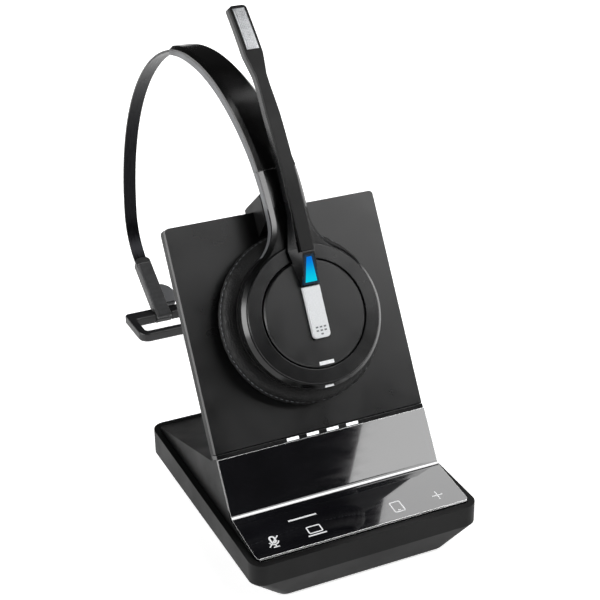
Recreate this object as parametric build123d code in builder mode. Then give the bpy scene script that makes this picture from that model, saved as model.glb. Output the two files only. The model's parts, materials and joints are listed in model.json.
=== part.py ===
"""Cordless office headset resting on its magnetic charging dock.

Millimetres, +Z up, +Y towards the back, origin at the centre of the dock's underside.
The leaning plate carries a frame of its own: u runs along X, v up the plate, h out of its face.
"""
from build123d import *
from math import cos, degrees, hypot, radians, sin
import os

os.makedirs("parts", exist_ok=True)

# ------------------------------------------------------------------ driving sizes: dock
tray_width = 78.0
tray_depth = 90.0
tray_corner_radius = 4.5
tray_wall = 2.2
tray_floor = 2.0
rim_front_z = 16.4
rim_rear_z = 18.3
wall_foot_z = 9.4            # where the upright wall turns inwards to the foot
foot_inset_side = 8.9
foot_inset_front = 3.7
foot_inset_rear = 8.9
mat_thickness = 1.0
mat_margin = 1.2
fit_gap = 0.2                # between parts that slide together on assembly
casing_wall = 2.0

gloss_thickness = 1.2
gloss_front_y = -42.2        # front edge of the touch surface
gloss_front_z = 17.1
gloss_bend_y = -22.4         # where the sheet turns up
gloss_bend_z = 19.6
gloss_bend_radius = 2.6

plate_lean = 30.0            # degrees back from upright
plate_foot_y = -11.2
plate_foot_z = 36.4
plate_width = 73.0
plate_length = 72.2
plate_front_thickness = 2.0
plate_rear_thickness = 3.4
plate_corner_radius = 1.4
light_slot = 1.5             # height of the light strip under the plate

light_pitch = 7.0
light_length = 4.1
light_count = 4

block_width = 12.6
block_front_h = 8.8
block_rear_wall = 1.6
block_top_v = plate_length + 4.7
block_low_v = plate_length - 8.3

board_thickness = 1.6
board_z = 6.6
post_radius = 3.0
post_x = 22.5
post_front_y = -31.0
post_rear_y = 24.0
screw_radius = 1.1

# ------------------------------------------------------------------ driving sizes: headset
ear_v = plate_length - 36.1  # axis of the ear cup, up the plate: the headset hangs from the block
cup_radius = 23.4
cup_back_h = 8.2
cup_floor_h = 10.2
cup_cavity_radius = 20.9
recess_h = 13.0              # floor of the round recess that takes ring and disc
ring_front_h = 15.9
ring_radius = 22.0
disc_radius = 16.85
disc_front_h = 16.5
turning_gap = 0.35
running_gap = 0.06           # shaft to bore, wherever something turns or slides
shell_gap = 0.1              # between two shells that close on each other
cushion_radius = 27.8
cushion_hole_radius = 13.6
cushion_gap = 0.3            # cushion to plate

arm_front_h = 15.3
arm_half_width = 6.5
arm_depth = 5.1
arm_split_depth = 2.4
arm_bend_v = ear_v + 34.8
arm_bend_radius = 50.0
arm_bend_angle = 25.9
seam_v = ear_v + 46.9
seam_gap = 0.15
cover_tip_h = -50.0
cover_tip_v = ear_v + 105.1
cover_tip_depth = 3.0
cover_tip_split = 1.5
arm_bevel_in = 1.2
arm_bevel_down = 1.4
cover_bevel = 1.2            # same bevel, carried on up the headband cover
cup_join_radius = 14.0       # sweep from the arm into the round cup

band_thickness = 0.8
band_width = 5.2
crown_h = -77.0              # top of the headband arc
crown_v = ear_v + 107.3
crown_radius = 93.0
crown_hidden_angle = 36.0    # how far the strip runs on inside the cover
crown_angle = 59.0
end_radius = 21.6
end_angle = 58.0

sleeve_half_width = 3.15
sleeve_back = 1.5
sleeve_front = 2.5
sleeve_length = 27.1         # top of the sleeve to the pin
sleeve_travel = 8.0
pad_thickness = 1.6
sleeve_grip = 13.0           # strip left in the sleeve when it is drawn all the way out
strip_in_sleeve = sleeve_travel + sleeve_grip
pin_radius = 0.8

frame_half_length = 15.0
frame_depth = 21.4
frame_thickness = 3.8
frame_side_bar = 3.1
frame_front_bar = 3.2
frame_rear_bar = 6.4
frame_pin_setback = 3.6      # pin to the rear edge of the frame

# ------------------------------------------------------------------ driving sizes: boom
boom_front_h = 22.0
boom_depth = 5.0
boom_tip_depth = 4.0
boom_half_width = 2.1
boom_waist_half_width = 1.7
boom_tip_half_width = 2.9
boom_bend_v = ear_v + 35.9
boom_bend_radius = 190.0
boom_tip_v = ear_v + 100.4
boom_tip_corner = 1.3        # rounding of the boom's square end
boom_split_depth = 1.5
boom_clear_h = 17.0          # underside of the boom over ring and arm
light_low_v = ear_v + 8.8
light_low_h = 18.8
light_top_v = ear_v + 18.5
button_low_v = ear_v - 7.9
button_top_v = ear_v + 8.4
button_half_width = 2.8
button_front_h = 18.3
button_travel = 0.4
button_sink = 0.4            # rear of the button below the disc's face
pin_travel = 0.8
pin_pitch = 2.4
pin_count = 4
pin_v = plate_length - 1.6
pin_tip_radius = 0.5
battery_center = (0, ear_v + 33.9)
battery_size = (9.0, 18.0)
battery_thickness = 2.6
battery_low_h = 11.3
hub_radius = 3.9
clip_radius = 6.0
switch_spot = (0, ear_v - 0.1)
switch_radius = 2.0
disc_mark_v = ear_v - 15.6
disc_mark_size = (5.0, 1.2)
rim_mark_size = (3.0, 0.7)
rim_mark_low_h = 13.4
mic_spots = (boom_tip_v - 12.0, boom_tip_v - 5.0)   # up the plate
mic_radius = 1.2
mic_height = 0.8
mic_sink = 0.5               # top of a microphone below the joint of the boom's shells
flex_width = 1.6
flex_thickness = 0.25
grille_low_v = boom_tip_v - 15.6
grille_high_v = boom_tip_v - 1.1
grille_half_width = 2.0
grille_inset = 0.5
frame_width = 0.75           # dark surround of the status light
tab_length = 13.5
tab_width = 5.0
frame_rear_clear = 4.9       # tab to the frame's rear bar

# ------------------------------------------------------------------ frames and derived places
lean = radians(plate_lean)
out_dir = Vector(0, -cos(lean), sin(lean))
up_dir = Vector(0, sin(lean), cos(lean))
plate_foot = Vector(0, plate_foot_y, plate_foot_z)
plate_plane = Plane(origin=plate_foot, x_dir=(1, 0, 0), z_dir=out_dir)
side_plane = Plane(origin=plate_foot, x_dir=out_dir, z_dir=(-1, 0, 0))
yz_plane = Plane.YZ
plate_thickness = plate_front_thickness + plate_rear_thickness
foot_width = tray_width - 2 * foot_inset_side
foot_depth = tray_depth - foot_inset_front - foot_inset_rear
foot_y = (foot_inset_front - foot_inset_rear) / 2
casing_width = tray_width - 2 * tray_wall - 2 * fit_gap
casing_rear_y = tray_depth / 2 - tray_wall - fit_gap
casing_front_y = -casing_rear_y
floor_top_z = mat_thickness + tray_floor


def plate_point(u, v, h):
    """World place of a point given along the plate, up it and out of it."""
    return plate_foot + Vector(u, 0, 0) + up_dir * v + out_dir * h


def save(builder, name):
    builder.part.label = name
    export_step(builder.part, f"parts/{name}.step")


def gloss_profile(depth):
    """Points (y, z) of the bent sheet's line, moved inwards by depth."""
    front = Vector(gloss_front_y, gloss_front_z)
    bend = Vector(gloss_bend_y, gloss_bend_z)
    top = gloss_top
    n1 = Vector(-(bend - front).Y, (bend - front).X).normalized()
    n2 = Vector(-(top - bend).Y, (top - bend).X).normalized()
    corner = (n1 + n2) * (depth / (1 + n1.dot(n2)))
    return [tuple(p)[:2] for p in (front - n1 * depth, bend - corner, top - n2 * depth)]


def boom_surface_h(v):
    """How far the boom's front stands out of the plate at height v."""
    return boom_front_h - boom_bend_radius + (boom_bend_radius ** 2 - (v - boom_bend_v) ** 2) ** 0.5


def mic_floor_h(v):
    """Rear of the microphone at height v."""
    return boom_surface_h(v) - boom_split_depth - mic_sink - mic_height


def plate_yz(h, v):
    p = plate_point(0, v, h)
    return (p.Y, p.Z)


gloss_top = Vector(*plate_yz(0.75, -light_slot))
ridge_rear = plate_yz(-plate_thickness, -light_slot)

# ================================================================== dock: tray
# sockets behind openings in the rear wall
socket_floor_z = board_z + board_thickness
socket_front_y = tray_depth / 2 - tray_wall - 9.0
power_x, power_size = -post_x - 1.0, (8.6, 7.4)
usb_spots, usb_size = (-9.5, 1.5), (8.2, 3.4)
line_spots, line_size = (13.0, 24.5), (9.0, 7.6)


def inner_rear_y(z):
    """Inside of the tray's sloping rear wall at height z."""
    low = foot_y + foot_depth / 2 - tray_wall
    return low + foot_inset_rear * (z - floor_top_z) / (wall_foot_z - floor_top_z)


def socket_holes():
    """Rear view of every socket opening, a little larger than its socket."""
    with BuildSketch(Plane.XZ.offset(-tray_depth / 2 - 1)) as holes:
        for x, size in [(power_x, power_size)] + [(x, usb_size) for x in usb_spots] \
                + [(x, line_size) for x in line_spots]:
            with Locations((x, socket_floor_z + size[1] / 2)):
                Rectangle(size[0] + 2 * fit_gap, size[1] + 2 * fit_gap)
    return holes.sketch


with BuildPart() as base_tray:
    with BuildSketch(Plane.XY.offset(mat_thickness)):
        with Locations((0, foot_y)):
            RectangleRounded(foot_width, foot_depth, tray_corner_radius)
    with BuildSketch(Plane.XY.offset(wall_foot_z)):
        RectangleRounded(tray_width, tray_depth, tray_corner_radius)
    loft(ruled=True)
    with BuildSketch(Plane.XY.offset(wall_foot_z)):
        RectangleRounded(tray_width, tray_depth, tray_corner_radius)
    extrude(amount=rim_rear_z - wall_foot_z)
    inner_radius = tray_corner_radius - tray_wall
    with BuildSketch(Plane.XY.offset(floor_top_z)):
        with Locations((0, foot_y)):
            RectangleRounded(foot_width - 2 * tray_wall, foot_depth - 2 * tray_wall, inner_radius)
    with BuildSketch(Plane.XY.offset(wall_foot_z)):
        RectangleRounded(tray_width - 2 * tray_wall, tray_depth - 2 * tray_wall, inner_radius)
    loft(ruled=True, mode=Mode.SUBTRACT)
    with BuildSketch(Plane.XY.offset(wall_foot_z)):
        RectangleRounded(tray_width - 2 * tray_wall, tray_depth - 2 * tray_wall, inner_radius)
    extrude(amount=rim_rear_z, mode=Mode.SUBTRACT)
    # the rim falls towards the front
    with BuildSketch(yz_plane):
        with BuildLine():
            Polyline((-tray_depth / 2 - 1, rim_front_z), (tray_depth / 2 + 1, rim_rear_z),
                     (tray_depth / 2 + 1, rim_rear_z + 5), (-tray_depth / 2 - 1, rim_rear_z + 5),
                     close=True)
        make_face()
    extrude(amount=tray_width, both=True, mode=Mode.SUBTRACT)
    # posts that carry the circuit board, with a spigot through it
    post_spots = [(x, y) for x in (-post_x, post_x) for y in (post_front_y, post_rear_y)]
    with BuildSketch(Plane.XY.offset(floor_top_z)):
        with Locations(*post_spots):
            Circle(post_radius)
    extrude(amount=board_z - floor_top_z)
    with BuildSketch(Plane.XY.offset(board_z)):
        with Locations(*post_spots):
            Circle(post_radius - 1)
    extrude(amount=board_thickness + 1)
    # screw passages with a recess for the heads
    with BuildSketch(Plane.XY.offset(mat_thickness)):
        with Locations(*post_spots):
            Circle(screw_radius + 0.15)
    extrude(amount=board_z + board_thickness + 2, mode=Mode.SUBTRACT)
    with BuildSketch(Plane.XY.offset(mat_thickness)):
        with Locations(*post_spots):
            Circle(2 * screw_radius + 0.2)
    extrude(amount=1.5, mode=Mode.SUBTRACT)

    extrude(socket_holes(), amount=tray_depth / 2 + 1 - inner_rear_y(socket_floor_z) + 1.0,
            mode=Mode.SUBTRACT)
save(base_tray, "base_tray")

with BuildPart() as base_mat:
    with BuildSketch():
        with Locations((0, foot_y)):
            RectangleRounded(foot_width - 2 * mat_margin, foot_depth - 2 * mat_margin,
                             tray_corner_radius - mat_margin)
    extrude(amount=mat_thickness)
save(base_mat, "base_mat")

with BuildPart() as base_screws:
    with BuildSketch(Plane.XY.offset(mat_thickness + 0.1)):
        with Locations(*post_spots):
            Circle(2 * screw_radius)
    extrude(amount=1.3)
    with BuildSketch(Plane.XY.offset(mat_thickness + 0.1)):
        with Locations(*post_spots):
            Circle(screw_radius)
    extrude(amount=socket_floor_z + 4.0)
save(base_screws, "base_screws")

# steel weight on the floor between the posts
with BuildPart() as ballast_plate:
    with BuildSketch(Plane.XY.offset(floor_top_z)):
        with Locations((0, (post_front_y + post_rear_y) / 2)):
            Rectangle(2 * post_x - 2 * post_radius - 2, post_rear_y - post_front_y)
    extrude(amount=2.0)
save(ballast_plate, "ballast_plate")

board_front_y = post_front_y - post_radius - 1
board_rear_y = inner_rear_y(board_z) - 0.4
board_width = 2 * (post_x + post_radius + 1.5)
with BuildPart() as main_board:
    with BuildSketch(Plane.XY.offset(board_z)):
        with Locations((0, (board_front_y + board_rear_y) / 2)):
            Rectangle(board_width, board_rear_y - board_front_y)
        with Locations(*post_spots):
            Circle(post_radius - 1 + fit_gap, mode=Mode.SUBTRACT)
    extrude(amount=board_thickness)
    # radio shield and the larger parts
    with BuildSketch(Plane.XY.offset(board_z + board_thickness)):
        with Locations((0, -18)):
            Rectangle(22, 18)
        with Locations((-9, 8)):
            Rectangle(9, 9)
        with Locations((10, 10)):
            Rectangle(7, 12)
    extrude(amount=1.8)
save(main_board, "main_board")


def socket_block(x, size, mouth):
    """A socket body on the board with its mouth open to the back."""
    center = (x, socket_floor_z + size[1] / 2)
    with BuildPart() as block:
        with BuildSketch(Plane.XZ.offset(-socket_front_y)):
            with Locations(center):
                Rectangle(*size)
        extrude(amount=-(tray_depth / 2 - 0.3 - socket_front_y))
        with BuildSketch(Plane.XZ.offset(-tray_depth / 2)):
            with Locations(center):
                if mouth == "round":
                    Circle(size[1] / 2 - 1.0)
                else:
                    Rectangle(size[0] - 1.2, size[1] - 1.2)
        extrude(amount=7.0, mode=Mode.SUBTRACT)
        if mouth == "round":
            with BuildSketch(Plane.XZ.offset(-socket_front_y)):
                with Locations(center):
                    Circle(0.9)
            extrude(amount=-(tray_depth / 2 - 1.5 - socket_front_y))
    return block.part


with BuildPart() as power_inlet:
    add(socket_block(power_x, power_size, "round"))
save(power_inlet, "power_inlet")

with BuildPart() as usb_sockets:
    for x in usb_spots:
        add(socket_block(x, usb_size, "flat"))
save(usb_sockets, "usb_sockets")

with BuildPart() as line_sockets:
    for x in line_spots:
        add(socket_block(x, line_size, "flat"))
save(line_sockets, "line_sockets")

# small ringer loudspeaker on the board
with BuildPart() as ringer_speaker:
    with BuildSketch(Plane.XY.offset(socket_floor_z)):
        with Locations((0, post_rear_y - 2)):
            Circle(6.5)
    extrude(amount=4.0)
    fillet(ringer_speaker.edges().filter_by(GeomType.CIRCLE).group_by(Axis.Z)[-1], 0.8)
save(ringer_speaker, "ringer_speaker")

# ================================================================== dock: casing, panel, lights
casing_low_z = socket_floor_z + 1.0 + 0.3
strip_depth = 4.2
guide_back = 3.9             # light guides: rear face, and depth of the leg through the casing
guide_depth = 1.4
light_spots = [(i - (light_count - 1) / 2) * light_pitch for i in range(light_count)]
tongue_x, tongue_width, tongue_thickness, tongue_drop = 24.0, 12.0, 2.0, 9.0
tongue_lift = 0.4            # back of the plate to the back of its tongues


def casing_outline():
    """Plan of what drops into the tray."""
    with BuildSketch() as plan:
        RectangleRounded(casing_width, casing_rear_y - casing_front_y, inner_radius)
    return plan.sketch


with BuildPart() as top_housing:
    inner_line = gloss_profile(gloss_thickness)
    front_low = (casing_front_y, casing_low_z)
    rear_top = (casing_rear_y, rim_rear_z)
    rear_low = (casing_rear_y, socket_floor_z + line_size[1] + 0.6)
    with BuildSketch(yz_plane):
        with BuildLine():
            Polyline(front_low, (casing_front_y, inner_line[0][1]), inner_line[0], inner_line[1],
                     inner_line[2], ridge_rear, rear_top, (rear_top[0], casing_low_z), close=True)
        make_face()
    extrude(amount=casing_width / 2, both=True)
    bottom = top_housing.faces().sort_by(Axis.Z)[0]
    offset(amount=-casing_wall, openings=bottom, kind=Kind.INTERSECTION)
    extrude(casing_outline(), amount=tray_depth, mode=Mode.INTERSECT)
    # room for the sockets under the rear edge
    with BuildSketch(Plane.XY.offset(casing_low_z - 1)):
        with Locations((0, casing_rear_y)):
            Rectangle(2 * (abs(line_spots[1]) + line_size[0] / 2 + 1.5), 2 * casing_wall + 12)
    extrude(amount=rear_low[1] - casing_low_z + 1, mode=Mode.SUBTRACT)
    # bosses that meet the board's posts and take the base screws
    with BuildSketch(Plane.XY.offset(casing_low_z)):
        with Locations(*post_spots):
            Circle(post_radius - 0.4)
    extrude(until=Until.NEXT)
    with BuildSketch(Plane.XY.offset(casing_low_z)):
        with Locations(*post_spots):
            Circle(screw_radius)
    extrude(amount=5.2, mode=Mode.SUBTRACT)
    # pocket for the touch sensor under the sheet
    sensor_line = Plane(origin=(0, inner_line[0][0], inner_line[0][1]), x_dir=(1, 0, 0),
                        z_dir=(0, -(gloss_bend_z - gloss_front_z), gloss_bend_y - gloss_front_y))
    sensor_length = hypot(gloss_bend_y - gloss_front_y, gloss_bend_z - gloss_front_z)
    sensor_width = casing_width - 8.0
    with BuildSketch(sensor_line):
        with Locations((0, sensor_length / 2)):
            Rectangle(sensor_width, sensor_length - 7.0)
    extrude(amount=-1.0, mode=Mode.SUBTRACT)
    # slots for the light guides and for the tongue of the plate
    with BuildSketch(plate_plane.offset(-guide_back - 0.2)):
        with Locations(*[(x, -light_slot - casing_wall) for x in light_spots]):
            Rectangle(light_length + 0.3, 2 * casing_wall + 1.5)
    extrude(amount=guide_depth + 0.4, mode=Mode.SUBTRACT)
    with BuildSketch(plate_plane.offset(-plate_thickness + tongue_lift - fit_gap)):
        with Locations((-tongue_x, -light_slot - casing_wall), (tongue_x, -light_slot - casing_wall)):
            Rectangle(tongue_width + 2 * fit_gap, 2 * casing_wall + 2.0)
    extrude(amount=tongue_thickness + 2 * fit_gap, mode=Mode.SUBTRACT)
save(top_housing, "top_housing")

with BuildPart() as touch_board:
    with BuildSketch(sensor_line.offset(-0.9)):
        with Locations((0, sensor_length / 2)):
            Rectangle(sensor_width - 2 * fit_gap, sensor_length - 7.0 - 2 * fit_gap)
    extrude(amount=0.8)
save(touch_board, "touch_board")

with BuildPart() as gloss_panel:
    face_line = gloss_profile(0)
    back_line = gloss_profile(gloss_thickness)
    with BuildSketch(yz_plane) as gloss_section:
        with BuildLine():
            Polyline(*face_line, *reversed(back_line), close=True)
        make_face()
        fillet(gloss_section.vertices().sort_by_distance((*face_line[1], 0))[0], gloss_bend_radius)
    extrude(amount=casing_width / 2, both=True)
    extrude(casing_outline(), amount=tray_depth, mode=Mode.INTERSECT)
    chamfer(gloss_panel.edges().filter_by(Axis.X).sort_by(Axis.Y)[0:2].sort_by(Axis.Z)[-1], 0.3)
save(gloss_panel, "gloss_panel")

with BuildPart() as led_strip:
    with BuildSketch(plate_plane.offset(-strip_depth)):
        with Locations((0, -light_slot / 2)):
            Rectangle(plate_width, light_slot - 0.1)
    extrude(amount=strip_depth + 0.3)
    with BuildSketch(plate_plane.offset(-strip_depth)):
        with Locations(*[(x, -light_slot / 2) for x in light_spots]):
            Rectangle(light_length + 0.1, light_slot - 0.5)
    extrude(amount=strip_depth + 1, mode=Mode.SUBTRACT)
    with BuildSketch(plate_plane.offset(-strip_depth)):
        with Locations(*[(x, -light_slot) for x in light_spots]):
            Rectangle(light_length + 0.1, 1.2)
    extrude(amount=strip_depth - guide_back + guide_depth + 0.1, mode=Mode.SUBTRACT)
    # notches for the plate's tongues
    with BuildSketch(plate_plane.offset(-strip_depth)):
        with Locations((-tongue_x, -light_slot / 2), (tongue_x, -light_slot / 2)):
            Rectangle(tongue_width + 2 * fit_gap, light_slot + 1)
    extrude(amount=strip_depth - plate_thickness + tongue_lift + tongue_thickness + fit_gap,
            mode=Mode.SUBTRACT)
save(led_strip, "led_strip")

with BuildPart() as led_windows:
    with BuildSketch(plate_plane.offset(-guide_back)):
        with Locations(*[(x, -light_slot / 2) for x in light_spots]):
            Rectangle(light_length, light_slot - 0.6)
    extrude(amount=guide_back + 0.36)
    with BuildSketch(plate_plane.offset(-guide_back)):
        with Locations(*[(x, -light_slot - 0.9) for x in light_spots]):
            Rectangle(light_length, 2.7)
    extrude(amount=guide_depth)
save(led_windows, "led_windows")

with BuildPart() as led_board:
    with BuildSketch(plate_plane.offset(-guide_back - 0.5)):
        with Locations((0, -light_slot - casing_wall - 0.8)):
            Rectangle(light_count * light_pitch + 6, 0.9)
    extrude(amount=guide_depth + 0.5)
save(led_board, "led_board")

# ================================================================== dock: leaning plate
with BuildPart() as back_plate:
    with BuildSketch(plate_plane.offset(-plate_front_thickness)) as plate_outline:
        with Locations((0, plate_length / 2)):
            Rectangle(plate_width, plate_length)
        fillet(plate_outline.vertices().group_by(Axis.Y)[-1], plate_corner_radius)
    extrude(amount=plate_front_thickness)
    chamfer(back_plate.faces().sort_by(Axis.Y)[0].outer_wire().edges(), 0.25)
save(back_plate, "back_plate")

magnet_radius = 4.5
magnet_thickness = 1.8
magnet_spots = [(x, ear_v + y) for x in (-9.5, 9.5) for y in (-9.5, 9.5)]
antenna_size = (46.0, 7.0)
antenna_v = ear_v + 19.9
with BuildPart() as plate_rear_shell:
    with BuildSketch(plate_plane.offset(-plate_thickness)) as shell_outline:
        with Locations((0, plate_length / 2)):
            Rectangle(plate_width, plate_length)
        fillet(shell_outline.vertices().group_by(Axis.Y)[-1], plate_corner_radius)
    extrude(amount=plate_rear_thickness)
    # lower edge closes the slot behind the light strip, and a tongue enters the casing
    with BuildSketch(plate_plane.offset(-plate_thickness)):
        with Locations((0, -light_slot / 2 + 0.25)):
            Rectangle(plate_width, light_slot + 0.4)
    extrude(amount=plate_thickness - strip_depth - 0.1)
    with BuildSketch(plate_plane.offset(-plate_thickness + tongue_lift)):
        with Locations((-tongue_x, -tongue_drop / 2), (tongue_x, -tongue_drop / 2)):
            Rectangle(tongue_width, tongue_drop + 1)
    extrude(amount=tongue_thickness)
    with BuildSketch(plate_plane.offset(-plate_front_thickness)):
        with Locations(*magnet_spots):
            Circle(magnet_radius + 0.1)
    extrude(amount=-magnet_thickness - 0.1, mode=Mode.SUBTRACT)
    with BuildSketch(plate_plane.offset(-plate_front_thickness)):
        with Locations((0, antenna_v)):
            Rectangle(antenna_size[0] + 0.4, antenna_size[1] + 0.4)
    extrude(amount=-1.2, mode=Mode.SUBTRACT)
    chamfer(plate_rear_shell.faces().filter_by(lambda f: f.normal_at().dot(out_dir) < -0.99)
            .sort_by(SortBy.AREA)[-1].outer_wire().edges().sort_by(Axis.Z)[1:], 0.3)
save(plate_rear_shell, "plate_rear_shell")

with BuildPart() as holding_magnets:
    with BuildSketch(plate_plane.offset(-plate_front_thickness - magnet_thickness)):
        with Locations(*magnet_spots):
            Circle(magnet_radius)
    extrude(amount=magnet_thickness)
save(holding_magnets, "holding_magnets")

with BuildPart() as antenna_board:
    with BuildSketch(plate_plane.offset(-plate_front_thickness - 1.1)):
        with Locations((0, antenna_v)):
            Rectangle(*antenna_size)
    extrude(amount=1.0)
save(antenna_board, "antenna_board")

# ================================================================== dock: charging block
pin_spots = [((i - (pin_count - 1) / 2) * pin_pitch, pin_v) for i in range(pin_count)]
pin_tip_h = arm_front_h - arm_depth - 0.3
pin_flange_h = 5.6
with BuildPart() as charging_block:
    with BuildSketch(side_plane):
        with BuildLine():
            Polyline((-plate_thickness - block_rear_wall, block_low_v),
                     (-plate_thickness - block_rear_wall, block_top_v - 2.2),
                     (block_front_h - 0.5, block_top_v), (block_front_h, block_top_v - 1.0),
                     (block_front_h, block_low_v + 3.7), (0.05, block_low_v),
                     (0.05, plate_length + 0.05), (-plate_thickness - 0.05, plate_length + 0.05),
                     (-plate_thickness - 0.05, block_low_v), close=True)
        make_face()
    extrude(amount=block_width / 2, both=True)
    chamfer(charging_block.edges().filter_by(lambda e: abs(e.tangent_at(0).X) < 0.01)
            .filter_by(lambda e: (e.center() - plate_point(0, block_top_v - 1.1, 0)).dot(up_dir) > -1.2
                       and abs(e.center().X) > block_width / 2 - 0.01), 0.7)
    # slot for the contact board, open below, and a bore for each pin
    with BuildSketch(plate_plane.offset(2.2)):
        with Locations((0, (block_low_v + pin_v + 3.0) / 2 - 1.0)):
            Rectangle(pin_count * pin_pitch + 1.2, pin_v + 3.0 - block_low_v + 2.0)
    extrude(amount=1.0, mode=Mode.SUBTRACT)
    with BuildSketch(plate_plane.offset(3.0)):
        with Locations(*pin_spots):
            Circle(0.95)
    extrude(amount=pin_flange_h + 1.0 - 3.0, mode=Mode.SUBTRACT)
    with BuildSketch(plate_plane.offset(3.0)):
        with Locations(*pin_spots):
            Circle(pin_tip_radius + running_gap)
    extrude(amount=block_front_h, mode=Mode.SUBTRACT)
save(charging_block, "charging_block")

with BuildPart() as pin_board:
    with BuildSketch(plate_plane.offset(2.3)):
        with Locations((0, pin_v)):
            Rectangle(pin_count * pin_pitch + 0.8, 5.4)
    extrude(amount=0.8)
save(pin_board, "pin_board")

with BuildPart() as pin_springs:
    with BuildSketch(plate_plane.offset(3.1)):
        with Locations(*pin_spots):
            Circle(0.8)
            Circle(0.55, mode=Mode.SUBTRACT)
    extrude(amount=pin_flange_h - pin_travel - 3.2)
save(pin_springs, "pin_springs")

with BuildPart() as charge_pins:
    with BuildSketch(plate_plane.offset(pin_flange_h)):
        with Locations(*pin_spots):
            Circle(0.8)
    extrude(amount=0.8)
    with BuildSketch(plate_plane.offset(pin_flange_h - 1.2)):
        with Locations(*pin_spots):
            Circle(0.45)
    extrude(amount=1.2)
    with BuildSketch(plate_plane.offset(pin_flange_h)):
        with Locations(*pin_spots):
            Circle(pin_tip_radius)
    extrude(amount=pin_tip_h - pin_flange_h)
    fillet(charge_pins.edges().filter_by(GeomType.CIRCLE)
           .filter_by(lambda e: (e.center() - plate_point(0, 0, pin_tip_h - 0.01)).dot(out_dir) > 0), 0.3)
save(charge_pins, "charge_pins")


# ================================================================== headset: arm and headband
def arm_curve(depth_root, depth_tip, start_v):
    """Side line of the arm: up, round one bend and on in a long arc to the headband's tip."""
    h = arm_front_h - depth_root
    low = Line((h, start_v), (h, arm_bend_v))
    bend = JernArc(start=low @ 1, tangent=(0, 1), radius=arm_bend_radius - depth_root,
                   arc_size=arm_bend_angle)
    tip_inward = Vector(crown_h - cover_tip_h, crown_v - crown_radius - cover_tip_v).normalized()
    tip = Vector(cover_tip_h, cover_tip_v) + tip_inward * depth_tip
    long_arc = TangentArc(bend @ 1, tip, tangent=bend % 1)
    return low, bend, long_arc


def arm_slice(root_from, root_to, tip_from, tip_to, start_v):
    """Closed side section between two depths below the arm's front surface."""
    with BuildSketch(side_plane) as section:
        with BuildLine():
            outer = arm_curve(root_from, tip_from, start_v)
            inner = arm_curve(root_to, tip_to, start_v)
            Line(outer[0] @ 0, inner[0] @ 0)
            Line(outer[2] @ 1, inner[2] @ 1)
        make_face()
    return section.sketch


# half widths of the headband cover up to its tip, seen from the front
cover_plan = [(arm_half_width, arm_bend_v), (arm_half_width, seam_v), (5.75, ear_v + 73.9),
              (5.1, ear_v + 93.9), (4.6, ear_v + 100.9), (3.7, cover_tip_v), (2.6, cover_tip_v + 0.6)]


def plan_outline():
    """Front view of the arm and headband cover, on a plane far behind them."""
    with BuildSketch(plate_plane.offset(-90)) as outline:
        with BuildLine():
            right = Polyline(*cover_plan)
            left = Polyline(*[(-u, v) for u, v in cover_plan])
            Line(right @ 0, left @ 0)
            Line(right @ 1, left @ 1)
        make_face()
    return outline.sketch


band_start = radians(crown_hidden_angle)
band_turn = radians(crown_angle)
crown_center = (crown_h, crown_v - crown_radius)
end_center = (crown_h - (crown_radius - end_radius) * sin(band_turn),
              crown_center[1] + (crown_radius - end_radius) * cos(band_turn))
strip_angle = band_turn + radians(end_angle)
strip_top = (end_center[0] - end_radius * sin(strip_angle), end_center[1] + end_radius * cos(strip_angle))
strip_dir = (-cos(strip_angle), -sin(strip_angle))      # (h, v) along the strip, downwards
strip_normal = (strip_dir[1] * -1, strip_dir[0])        # towards the wearer's head


def band_section(grow):
    """Side section of the spring strip from inside the cover to its free end."""
    with BuildSketch(side_plane) as section:
        with BuildLine():
            ends = []
            for side in (1, -1):
                outer = crown_radius + side * (band_thickness / 2 + grow)
                curl_radius = end_radius + side * (band_thickness / 2 + grow)
                start = (crown_center[0] + outer * sin(band_start), crown_center[1] + outer * cos(band_start))
                top = JernArc(start=start, tangent=(-cos(band_start), sin(band_start)), radius=outer,
                              arc_size=degrees(band_start + band_turn))
                curl = JernArc(start=top @ 1, tangent=top % 1, radius=curl_radius, arc_size=end_angle)
                run = Line(curl @ 1, curl @ 1 + Vector(*strip_dir) * strip_in_sleeve)
                ends.append((top @ 0, run @ 1))
            Line(ends[0][0], ends[1][0])
            Line(ends[0][1], ends[1][1])
        make_face()
    return section.sketch


with BuildPart() as steel_band:
    extrude(band_section(0), amount=band_width / 2, both=True)
save(steel_band, "steel_band")


def headband_shell(root_from, root_to, tip_from, tip_to):
    """One of the two shells of the headband cover, with the slot for the strip between them."""
    with BuildPart() as shell:
        extrude(arm_slice(root_from, root_to, tip_from, tip_to, arm_bend_v - 5),
                amount=arm_half_width + 1, both=True)
        extrude(plan_outline(), amount=130, mode=Mode.INTERSECT)
        with BuildSketch(plate_plane.offset(-90)):
            with Locations((0, seam_v + seam_gap - 25)):
                Rectangle(40, 50)
        extrude(amount=130, mode=Mode.SUBTRACT)
        extrude(band_section(shell_gap), amount=band_width / 2 + shell_gap, both=True,
                mode=Mode.SUBTRACT)
    return shell.part


with BuildPart() as headband_cover:
    add(headband_shell(0, arm_split_depth - shell_gap, 0, cover_tip_split - shell_gap))
    curl = plate_point(0, crown_center[1], crown_center[0])
    flanks = [f for f in headband_cover.faces()
              if abs(f.normal_at().X) > 0.9 and abs(f.center().X) > band_width / 2 + 0.6]
    chamfer([max(f.edges(), key=lambda e: (e.position_at(0.5) - curl).length) for f in flanks],
            length=cover_bevel)
save(headband_cover, "headband_cover")

with BuildPart() as headband_liner:
    add(headband_shell(arm_split_depth, arm_depth, cover_tip_split, cover_tip_depth))
save(headband_liner, "headband_liner")


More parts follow.
